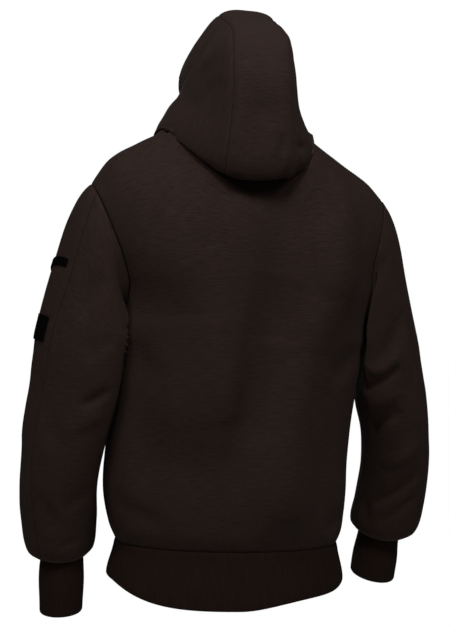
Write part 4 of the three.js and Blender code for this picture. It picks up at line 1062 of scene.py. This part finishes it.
def materials():
    """Every material of the hoodie, made once from the colours and sizes in the sidebar."""
    if not MATERIALS:
        scene = bpy.context.scene
        colours, sizes = scene.hoodie_colours, scene.hoodie_sizes
        c = {name: list(getattr(colours, name)) + [1] for name in colours.__annotations__}
        MATERIALS["fleece"] = marl_fleece("Marl sweatshirt fleece", sizes, c["fleece"], c["marl"])
        MATERIALS["back"] = brushed_back("Brushed fleece back", c["marl"], c["fleece"])
        MATERIALS["rib"] = rib_knit("Two-by-two rib knit", sizes, c["rib"], c["rib_light"])
        MATERIALS["tape"] = woven_tape("Woven polyester tape", 0.7, c["tape"], c["tape_light"])
        MATERIALS["plain_tape"] = thread("Zip tape", c["tape_light"])
        MATERIALS["thread"] = thread("Polyester sewing thread", c["thread"])
        MATERIALS["metal"] = antique_brass("Antique plated brass", c["metal"], c["metal_worn"])
    return MATERIALS


# ---- The pieces ----
# How far apart the larger and the smaller hills of the cloth lie along x, y and z.
BODY_HILLS = (70, 70, 150), (26, 26, 34)
ARM_HILLS = (48, 48, 62), (20, 20, 24)
HOOD_HILLS = (60, 60, 70), (24, 24, 24)
RIB_HILLS, RIB_HILL_HEIGHT = (60, 60, 40), 0.9
ALL_EDGES = ("left", "right", "low", "high")
OTHER = {"left": "right", "right": "left"}
# How far rows of stitches lie from an edge: at the zip, at a seam, at the gusset and round a trim.
ZIP_STITCH, SEAM_STITCH, GUSSET_STITCH, TRIM_STITCH = 7, 6, 4, 2.4
HOOD_HEM = 48
# The columns and rows of each piece's grid, and over what share of it closer ones are added at both ends.
COLUMNS = {
    "back": (110, 0.01),
    "front": (64, 0.02),
    "upper": (60, 0.02),
    "under": (44, 0.02),
    "hood": (76, 0.02),
    "gusset": (28, 0.04),
}
ROWS = {"body": (150, 0.008), "sleeve": (120, 0.012), "rib": (18, 0.06), "hood": (130, 0.01)}
TRIM_GRID = (40, 24)
CLOSER = (0.12, 0.28, 0.5, 0.75)


def with_edges(values, share):
    """Adds closer rows beside both ends, so that a seam's dip and roll are smooth."""
    extra = [share * k for k in CLOSER]
    return np.unique(np.concatenate([values, extra, [1 - e for e in extra]]).round(6))


def even(count, share):
    """Grid values with even spacing in u or v."""
    return with_edges(np.linspace(0, 1, count), share)


def spaced(place, axis, at, count, share):
    """Grid values with even spacing along the cloth, worked out from one line of the form."""
    t = np.linspace(0, 1, LINE_SAMPLES)
    line = place(t, np.full(t.shape, at)) if axis == "u" else place(np.full(t.shape, at), t)
    along = lengths(line, 0)
    return with_edges(np.interp(np.linspace(0, along[-1], count), along, t), share)


def fleece_finish():
    """Outside, inside and slot of every fleece panel."""
    return materials()["fleece"], materials()["back"], "fleece"


def build_body(sizes):
    vs = spaced(back_place, "v", 0.3, *ROWS["body"])
    us = spaced(back_place, "u", 0.5, *COLUMNS["back"])
    relief = cloth_relief(ALL_EDGES, *BODY_HILLS)
    back = shell("back", back_place, us, vs, sizes.cloth * MM, relief, fleece_finish(), sewn=ALL_EDGES)
    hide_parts("back_panel")
    for side, place in (("left", front_left_place), ("right", front_right_place)):
        name, seams = f"front_{side}_cloth", (OTHER[side], "low", "high")
        us = spaced(place, "u", 0.5, *COLUMNS["front"])
        relief = cloth_relief(seams + (side,), *BODY_HILLS, {side: ZIP_STITCH})
        front = shell(name, place, us, vs, sizes.cloth * MM, relief, fleece_finish(), sewn=seams)
        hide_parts("front_" + side)


# Width and length of each sleeve panel's cut, and its area: both taper to the cuff.
SLEEVE_CUTS = {
    ("left", "upper"): (0.27, 0.61, 0.116),
    ("left", "under"): (0.18, 0.59, 0.073),
    ("right", "upper"): (0.26, 0.59, 0.103),
    ("right", "under"): (0.17, 0.57, 0.063),
}


def build_sleeves(sizes):
    for (side, part), cut in SLEEVE_CUTS.items():
        name, place = f"sleeve_{side}_{part}", sleeve_place(side, part)
        us, vs = spaced(place, "u", 0.5, *COLUMNS[part]), spaced(place, "v", 0.5, *ROWS["sleeve"])
        relief = cloth_relief(ALL_EDGES, *ARM_HILLS, {side: SEAM_STITCH} if part == "upper" else None)
        cloth, finish = sizes.cloth * MM, fleece_finish()
        piece = shell(name + "_cloth", place, us, vs, cloth, relief, finish, sewn=ALL_EDGES)
        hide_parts(name)


RIB_SHARP, RIB_SINK = 0.8, 0.35  # how narrow the grooves are, and the share of a rib below the form
# How near its seam and its folded edge a rib fades, and what is left of it at the folded edge.
RIB_SEAM_FADE, RIB_EDGE_FADE, RIB_EDGE_LEFT = 5, 9, 0.35
RIB_HILL_FADE, RIB_SEAM_DIP, RIB_SEAM_WIDTH = 12, 0.7, 2.5
RIB_STEPS = 6  # columns for each rib
CUFF_ROUND, BAND_ROUND = 226, 1010  # how long the ribbed cloth is round a cuff and the waistband


def rib_relief(count, height, seam, free):
    """Ribs round a tube or band, which die out at its seam and flatten at its folded edge."""

    def relief(u, base, normals, edges):
        wave = 0.5 - 0.5 * np.cos(2 * math.pi * count * u)
        at_fold = mix(RIB_EDGE_LEFT, 1, ease(edges[free] / RIB_EDGE_FADE))
        ends = ease(edges[seam] / RIB_SEAM_FADE) * at_fold
        raised = height * (wave**RIB_SHARP - RIB_SINK) * ends
        hills = RIB_HILL_HEIGHT * smooth_noise(base, RIB_HILLS, 4)
        form = hills * ease(edges[seam] / RIB_HILL_FADE) - RIB_SEAM_DIP * dip(edges[seam], RIB_SEAM_WIDTH)
        return form, raised

    return relief


def build_ribs(sizes):
    rib, cloth = materials()["rib"], sizes.rib_cloth * MM
    finish = (rib, rib, "rib_knit")
    pitch, height = sizes.rib_pitch * MM, sizes.rib_height * MM
    vs = even(*ROWS["rib"])
    for side in ("left", "right"):
        count = round(CUFF_ROUND / pitch)
        us = np.arange(count * RIB_STEPS) / (count * RIB_STEPS)
        relief, place = rib_relief(count, height, "low", "high"), cuff_place(side)
        edges = {"closed": True, "roll": ("high",), "sewn": ("low",)}
        cuff = shell(f"cuff_{side}_rib", place, us, vs, cloth, relief, finish, **edges)
        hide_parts("cuff_" + side)
    count = round(BAND_ROUND / pitch)
    us = np.linspace(0, 1, count * RIB_STEPS + 1)
    relief, edges = rib_relief(count, height, "high", "low"), {"roll": ("low",), "sewn": ("high",)}
    band = shell("waistband_rib", band_place, us, vs, cloth, relief, finish, **edges)
    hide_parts("waistband")


HEM_RISE, HEM_SLOPE = 0.8, 3  # how far the turned hem stands out, and over what width it rises
HEM_DIP, HEM_DIP_WIDTH = 0.6, 1.8


def hood_relief(seams):
    """The hood's panels: relief as on the body, and a turned hem that stands proud up to its stitches."""
    sewn = cloth_relief(seams, *HOOD_HILLS)

    def relief(u, base, normals, edges):
        form, raised = sewn(u, base, normals, edges)
        raised = raised + HEM_RISE * ease((HOOD_HEM - edges["high"]) / HEM_SLOPE)
        return form - HEM_DIP * dip(edges["high"] - HOOD_HEM, HEM_DIP_WIDTH), raised

    return relief


def build_hood(sizes):
    cloth, finish = sizes.cloth * MM, fleece_finish()
    vs = spaced(hood_left_place, "v", 0.5, *ROWS["hood"])
    for side, place in (("left", hood_left_place), ("right", hood_right_place)):
        seams = (OTHER[side], "low")
        us, relief = spaced(place, "u", 0.6, *COLUMNS["hood"]), hood_relief(seams + (side,))
        edges = {"turned": True, "roll": ("high",), "sewn": seams}
        piece = shell(f"hood_{side}_cloth", place, us, vs, cloth, relief, finish, **edges)
        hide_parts("hood_" + side)
    seams = ("left", "right", "low")
    us, relief, edges = even(*COLUMNS["gusset"]), hood_relief(seams), {"roll": ("high",), "sewn": seams}
    gusset = shell("hood_gusset_cloth", gusset_place, us, vs, cloth, relief, finish, **edges)
    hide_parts("hood_gusset")


# ---- Zip and trims ----
# One tooth seen from the front: a head that reaches over the middle, a waist and a foot on the tape.
HALF_TOOTH = ((-0.9, 0.55), (0.1, 0.8), (0.9, 0.5), (3.3, 0.5))
TOOTH = [(x, -y) for x, y in HALF_TOOTH] + list(reversed(HALF_TOOTH))
TOOTH_FRONT, TOOTH_BACK = -0.8, -3.0  # how far out from the zip's line its faces lie
TOOTH_SHRINK = 0.82  # its front face is smaller than its back
TOOTH_SHARP = 30  # its edges that turn more than this many degrees stay sharp
TEETH_FROM, TEETH_TO = 0.006, 0.992
ZIP_FINISHES = {
    "zip_tape_left": "plain_tape",
    "zip_tape_right": "plain_tape",
    "zip_slider": "metal",
    "zip_pull": "metal",
}


def build_zip(sizes):
    pitch = sizes.tooth_pitch * MM
    t = np.linspace(TEETH_FROM, TEETH_TO, TEETH_SAMPLES)
    line, out = zip_line(t), zip_facing(t)
    along = lengths(line, 0)
    points, faces, half = [], [], len(TOOTH)
    for side in (1, -1):
        for place in np.arange(pitch, along[-1] - pitch, pitch) + (pitch / 2 if side > 0 else 0):
            centre, normal = on_line(place, along, line), on_line(place, along, out)
            up = np.cross(normal, [1, 0, 0])
            ring = list(range(len(points), len(points) + half))
            for depth, shrink in ((TOOTH_FRONT, TOOTH_SHRINK), (TOOTH_BACK, 1.0)):
                for x, y in TOOTH:
                    out_x = side * x * (shrink if x < 0 else 1)
                    points.append(centre + np.array([out_x, 0, 0]) + up * y * shrink + normal * depth)
            sides = [[a, b, b + half, a + half] for a, b in zip(ring, ring[1:] + ring[:1])]
            new = [ring[::-1], [k + half for k in ring]] + sides
            faces += new if side < 0 else [face[::-1] for face in new]
    teeth = mesh_piece("zip_teeth", points, faces, [materials()["metal"]])
    teeth.data.set_sharp_from_angle(angle=math.radians(TOOTH_SHARP))
    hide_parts("zip_chain")
    for name, material in ZIP_FINISHES.items():
        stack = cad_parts[name].data.materials
        stack.clear()
        stack.append(materials()[material])


# The flat trims on the left sleeve: where each lies down the sleeve, and how far round it from the seam.
TRIMS = {
    "pocket_tape": {"top": 0.197, "bottom": 0.211, "start": 8, "end": 64, "slope": 0.02},
    "pocket_tab": {"top": 0.312, "bottom": 0.37, "start": 9, "end": 38, "slope": 0},
}
TRIM_LIFT, TRIM_THICK = 0.3, 1.2
TRIM_ROUND, TRIM_ROUND_WIDTH = 0.3, 1.2  # its edges are rounded off
TRIM_DIP, TRIM_DIP_FROM, TRIM_DIP_WIDTH = 0.15, 3, 0.8  # a faint line just inside the stitches


def sleeve_surface(u, v):
    """The left sleeve's upper panel with its relief, read from its grid."""
    outer, normals, _, us, vs = GRIDS["sleeve_left_upper_cloth"]
    i, j = np.interp(u, us, np.arange(len(us))), np.interp(v, vs, np.arange(len(vs)))
    i0, j0 = np.minimum(i.astype(int), len(us) - 2), np.minimum(j.astype(int), len(vs) - 2)
    s, t = (i - i0)[..., None], (j - j0)[..., None]

    def at(grid):
        low = mix(grid[j0, i0], grid[j0, i0 + 1], s)
        return mix(low, mix(grid[j0 + 1, i0], grid[j0 + 1, i0 + 1], s), t)

    return at(outer) + unit(at(normals)) * (TRIM_LIFT + TRIM_THICK)


def trim_relief(u, base, normals, edges):
    """The relief of woven tape: rounded edges and a faint line beside its stitches."""
    near = nearest(edges, ALL_EDGES)
    raised = -TRIM_ROUND * dip(near, TRIM_ROUND_WIDTH) - TRIM_DIP * dip(near - TRIM_DIP_FROM, TRIM_DIP_WIDTH)
    return np.zeros(u.shape), raised


def build_trims():
    finish = (materials()["tape"], materials()["tape"], "tape")
    us, vs = (np.linspace(0, 1, count) for count in TRIM_GRID)
    for name, trim in TRIMS.items():

        def place(u, v, trim=trim):
            along = mix(trim["bottom"], trim["top"], v) + trim["slope"] * u
            panel_u = mix(trim["start"], trim["end"], u) / (180 + read(SEAM_ROUND, "round", along))
            return sleeve_surface(panel_u, along)

        piece = shell(name + "_woven", place, us, vs, TRIM_THICK, trim_relief, finish, roll=ALL_EDGES)
        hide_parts(name)


# ---- Stitching ----
# Where the rows at the shoulder seams, the armholes, the sleeves' long seams and the gusset start and end,
# as shares of their edge.
NECK_TO_ARMHOLE = {"left": (0.47, 0.98), "right": (0.02, 0.53)}
UP_ARMHOLE = (0.52, 0.98)
DOWN_SLEEVE = (0.02, 0.98)
OVER_HOOD = (0.03, 0.9)


def build_stitches(sizes):
    runs = []
    for side in ("left", "right"):
        front, hood = f"front_{side}_cloth", f"hood_{side}_cloth"
        runs.append(edge_run(front, side, ZIP_STITCH))
        runs.append(edge_run(front, "high", SEAM_STITCH, *NECK_TO_ARMHOLE[side]))
        runs.append(edge_run(front, OTHER[side], SEAM_STITCH, *UP_ARMHOLE))
        runs.append(edge_run(f"sleeve_{side}_upper_cloth", side, SEAM_STITCH, *DOWN_SLEEVE))
        runs.append(edge_run(hood, "high", HOOD_HEM))
        runs.append(edge_run(hood, OTHER[side], GUSSET_STITCH, *OVER_HOOD))
    for side in ("left", "right"):
        runs.append(edge_run("back", side, SEAM_STITCH, *UP_ARMHOLE))
    runs.append(edge_run("hood_gusset_cloth", "high", HOOD_HEM))
    stitch_piece("topstitching", runs, materials()["thread"], sizes)
    trims = [edge_run(f"{name}_woven", edge, TRIM_STITCH) for name in TRIMS for edge in ALL_EDGES]
    stitch_piece("trim_stitching", trims, materials()["thread"], sizes)


# ---- Stage ----
CAMERA_AZIMUTH, CAMERA_DISTANCE, CAMERA_HEIGHT = 167.0, 2.0, -0.318
CAMERA_YAW, CAMERA_PITCH, CAMERA_ROLL = 0.51, 1.0, 1.8
VIEW_HEIGHT_ANGLE = 27.36
FLOOR_Z, FLOOR_RADIUS, FLOOR_CORNERS = -1.45, 2.8, 96
FILL_STRENGTH = 0.025  # the light that the pale room gives from all sides
LAMP_AIM = Vector((0, 0, -0.3))
# Soft square lamps: azimuth, elevation, distance, size and power.
LAMPS = {
    "key_softbox": (120, 42, 2.4, 0.8, 14),
    "right_softbox": (220, 42, 2.4, 0.8, 11.5),
    "top_softbox": (170, 52, 2.3, 0.6, 25),
    "face_softbox": (0, 20, 2.8, 1.4, 11),
}


def soft_box(name, azimuth, elevation, distance, size, power):
    """A square lamp with a wide soft face, turned towards the garment."""
    light = bpy.data.lights.new(name, "AREA")
    light.shape, light.size, light.energy = "SQUARE", size, power
    lamp = bpy.data.objects.new(name, light)
    a, e = math.radians(azimuth), math.radians(elevation)
    back = Vector((math.sin(a) * math.cos(e), -math.cos(a) * math.cos(e), math.sin(e)))
    lamp.location = LAMP_AIM + back * distance
    lamp.rotation_mode = "QUATERNION"
    lamp.rotation_quaternion = (-back).to_track_quat("-Z", "Y")
    bpy.context.scene.collection.objects.link(lamp)


def build_floor():
    """A round floor of matte white painted board, with the faint mottling of a roller."""
    mesh = bpy.data.meshes.new("studio_floor")
    angles = [k * 2 * math.pi / FLOOR_CORNERS for k in range(FLOOR_CORNERS)]
    ring = [(FLOOR_RADIUS * math.cos(a), FLOOR_RADIUS * math.sin(a), FLOOR_Z) for a in angles]
    mesh.from_pydata(ring, [], [list(range(FLOOR_CORNERS))])
    floor = bpy.data.objects.new("studio_floor", mesh)
    bpy.context.scene.collection.objects.link(floor)
    material, tree = new_material("White painted board", linear("#f2f2f0"))
    place = add(tree, "ShaderNodeTexCoord").outputs["Object"]
    mottle = add(tree, "ShaderNodeTexNoise", {"Scale": 9.0, "Detail": 2.0, "Vector": place}).outputs["Fac"]
    settings = {"data_type": "RGBA", 0: mottle, 6: linear("#f4f4f2"), 7: linear("#efefed")}
    finish_material(tree, {"Roughness": 0.9, "Base Color": add(tree, "ShaderNodeMix", settings).outputs[2]})
    mesh.materials.append(material)


def build_stage():
    scene = bpy.context.scene
    scene.view_settings.view_transform = "Standard"
    build_floor()
    world = bpy.data.worlds.new("studio")
    world.use_nodes = True
    tree = world.node_tree
    tree.nodes.clear()
    seen = add(tree, "ShaderNodeBackground", {"Color": (1, 1, 1, 1), "Strength": 1.0})
    cast = add(tree, "ShaderNodeBackground", {"Color": (1, 1, 1, 1), "Strength": FILL_STRENGTH})
    direct = add(tree, "ShaderNodeLightPath").outputs["Is Camera Ray"]
    both = add(tree, "ShaderNodeMixShader", {0: direct, 1: cast.outputs[0], 2: seen.outputs[0]})
    add(tree, "ShaderNodeOutputWorld", {"Surface": both.outputs[0]})
    scene.world = world
    for name, lamp in LAMPS.items():
        soft_box(name, *lamp)
    data = bpy.data.cameras.new("studio_camera")
    data.sensor_fit = "VERTICAL"
    data.sensor_height = 36.0
    data.angle_y = math.radians(VIEW_HEIGHT_ANGLE)
    data.dof.use_dof = False
    camera = bpy.data.objects.new("studio_camera", data)
    azimuth = math.radians(CAMERA_AZIMUTH)
    ahead = Vector((-math.sin(azimuth), math.cos(azimuth), 0))
    camera.location = -CAMERA_DISTANCE * ahead + Vector((0, 0, CAMERA_HEIGHT))
    camera.rotation_mode = "QUATERNION"
    turn = ahead.to_track_quat("-Z", "Y")
    for axis, angle in (((0, 1, 0), CAMERA_YAW), ((1, 0, 0), CAMERA_PITCH), ((0, 0, 1), CAMERA_ROLL)):
        turn = turn @ Quaternion(axis, math.radians(angle))
    camera.rotation_quaternion = turn
    scene.collection.objects.link(camera)
    scene.camera = camera


# ---- Add-on ----
def colour_property(name, description, code):
    return bpy.props.FloatVectorProperty(
        name=name, description=description, subtype="COLOR", size=3, min=0, max=1, default=linear(code)[:3]
    )


def length_property(name, description, default):
    settings = {"subtype": "DISTANCE", "unit": "LENGTH", "min": 0.0001, "precision": 5}
    return bpy.props.FloatProperty(name=name, description=description, default=default, **settings)


class HoodieSizes(bpy.types.PropertyGroup):
    cloth: length_property("Fleece", "Thickness of the fleece", 0.0024)
    rib_cloth: length_property("Rib cloth", "Thickness of the folded rib knit", 0.0028)
    rib_pitch: length_property("Rib spacing", "Distance from one rib to the next", 0.0042)
    rib_height: length_property("Rib height", "How far a rib stands out", 0.0004)
    knit_pitch: length_property("Knit spacing", "Distance between the courses of the jersey", 0.0012)
    marl_length: length_property("Marl streak length", "Length of the pale streaks in the marl yarn", 0.021)
    marl_width: length_property("Marl streak width", "Distance between the pale streaks", 0.0018)
    stitch_pitch: length_property("Stitch spacing", "Distance from one stitch to the next", 0.0038)
    stitch_length: length_property("Stitch length", "Length of thread that shows in one stitch", 0.0029)
    thread: length_property("Thread", "Thickness of the sewing thread", 0.0006)
    tooth_pitch: length_property("Tooth spacing", "Distance between the zip's teeth on one tape", 0.003)


class HoodieColours(bpy.types.PropertyGroup):
    fleece: colour_property("Fleece", "Darker yarn of the marl fleece", "#211613")
    marl: colour_property("Marl", "Paler fibres of the marl fleece", "#2f211b")
    rib: colour_property("Rib knit", "Darker side of the ribs", "#1f1410")
    rib_light: colour_property("Rib knit, light", "Paler side of the ribs", "#261a14")
    tape: colour_property("Tape", "Pocket tape and tab", "#030303")
    tape_light: colour_property("Tape, light", "Raised weft of the tape", "#070707")
    thread: colour_property("Thread", "Sewing thread", "#1d1817")
    metal: colour_property("Zip metal", "Darkened brass in the recesses", "#4a443c")
    metal_worn: colour_property("Zip metal, worn", "Rubbed brass on the edges", "#8d8474")


class HOODIE_OT_body(bpy.types.Operator):
    """Builds the back and the two fronts"""

    bl_idname = "hoodie.body"
    bl_label = "Back and fronts"

    def execute(self, context):
        build_body(context.scene.hoodie_sizes)
        return {"FINISHED"}


class HOODIE_OT_sleeves(bpy.types.Operator):
    """Builds the upper and under panels of both sleeves"""

    bl_idname = "hoodie.sleeves"
    bl_label = "Sleeves"

    def execute(self, context):
        build_sleeves(context.scene.hoodie_sizes)
        return {"FINISHED"}


class HOODIE_OT_ribs(bpy.types.Operator):
    """Builds the rib-knit cuffs and waistband"""

    bl_idname = "hoodie.ribs"
    bl_label = "Cuffs and waistband"

    def execute(self, context):
        build_ribs(context.scene.hoodie_sizes)
        return {"FINISHED"}


class HOODIE_OT_hood(bpy.types.Operator):
    """Builds the hood's two sides and its centre gusset"""

    bl_idname = "hoodie.hood"
    bl_label = "Hood"

    def execute(self, context):
        build_hood(context.scene.hoodie_sizes)
        return {"FINISHED"}


class HOODIE_OT_zip(bpy.types.Operator):
    """Builds the zip's teeth and finishes its tapes, slider and pull"""

    bl_idname = "hoodie.zip"
    bl_label = "Zip"

    def execute(self, context):
        build_zip(context.scene.hoodie_sizes)
        return {"FINISHED"}


class HOODIE_OT_trims(bpy.types.Operator):
    """Builds the flat tape and tab on the left sleeve"""

    bl_idname = "hoodie.trims"
    bl_label = "Sleeve pocket trims"

    def execute(self, context):
        build_trims()
        return {"FINISHED"}


class HOODIE_OT_stitches(bpy.types.Operator):
    """Sews the rows of topstitching"""

    bl_idname = "hoodie.stitches"
    bl_label = "Topstitching"

    def execute(self, context):
        build_stitches(context.scene.hoodie_sizes)
        return {"FINISHED"}


class HOODIE_OT_stage(bpy.types.Operator):
    """Sets up the floor, the studio light and the camera"""

    bl_idname = "hoodie.stage"
    bl_label = "Studio"

    def execute(self, context):
        build_stage()
        return {"FINISHED"}


class HOODIE_PT_panel(bpy.types.Panel):
    """Lists the hoodie's sizes, colours and pieces"""

    bl_idname = "HOODIE_PT_panel"
    bl_label = "Hoodie"
    bl_space_type = "VIEW_3D"
    bl_region_type = "UI"
    bl_category = "Hoodie"

    def draw(self, context):
        for group in (context.scene.hoodie_sizes, context.scene.hoodie_colours):
            box = self.layout.box()
            for name in group.__annotations__:
                box.prop(group, name)
        for step in STEPS:
            self.layout.operator(step.bl_idname)


# In the order they are built: the trims and the stitches lie on the pieces before them.
STEPS = (
    HOODIE_OT_stage,
    HOODIE_OT_body,
    HOODIE_OT_sleeves,
    HOODIE_OT_ribs,
    HOODIE_OT_hood,
    HOODIE_OT_zip,
    HOODIE_OT_trims,
    HOODIE_OT_stitches,
)
CLASSES = (HoodieSizes, HoodieColours) + STEPS + (HOODIE_PT_panel,)


def register():
    for cls in CLASSES:
        bpy.utils.register_class(cls)
    bpy.types.Scene.hoodie_sizes = bpy.props.PointerProperty(type=HoodieSizes)
    bpy.types.Scene.hoodie_colours = bpy.props.PointerProperty(type=HoodieColours)


def unregister():
    del bpy.types.Scene.hoodie_colours
    del bpy.types.Scene.hoodie_sizes
    for cls in reversed(CLASSES):
        bpy.utils.unregister_class(cls)


def main():
    register()
    for step in STEPS:
        group, name = step.bl_idname.split(".")
        getattr(getattr(bpy.ops, group), name)()
    bpy.context.view_layer.update()


if __name__ == "__main__":
    main()
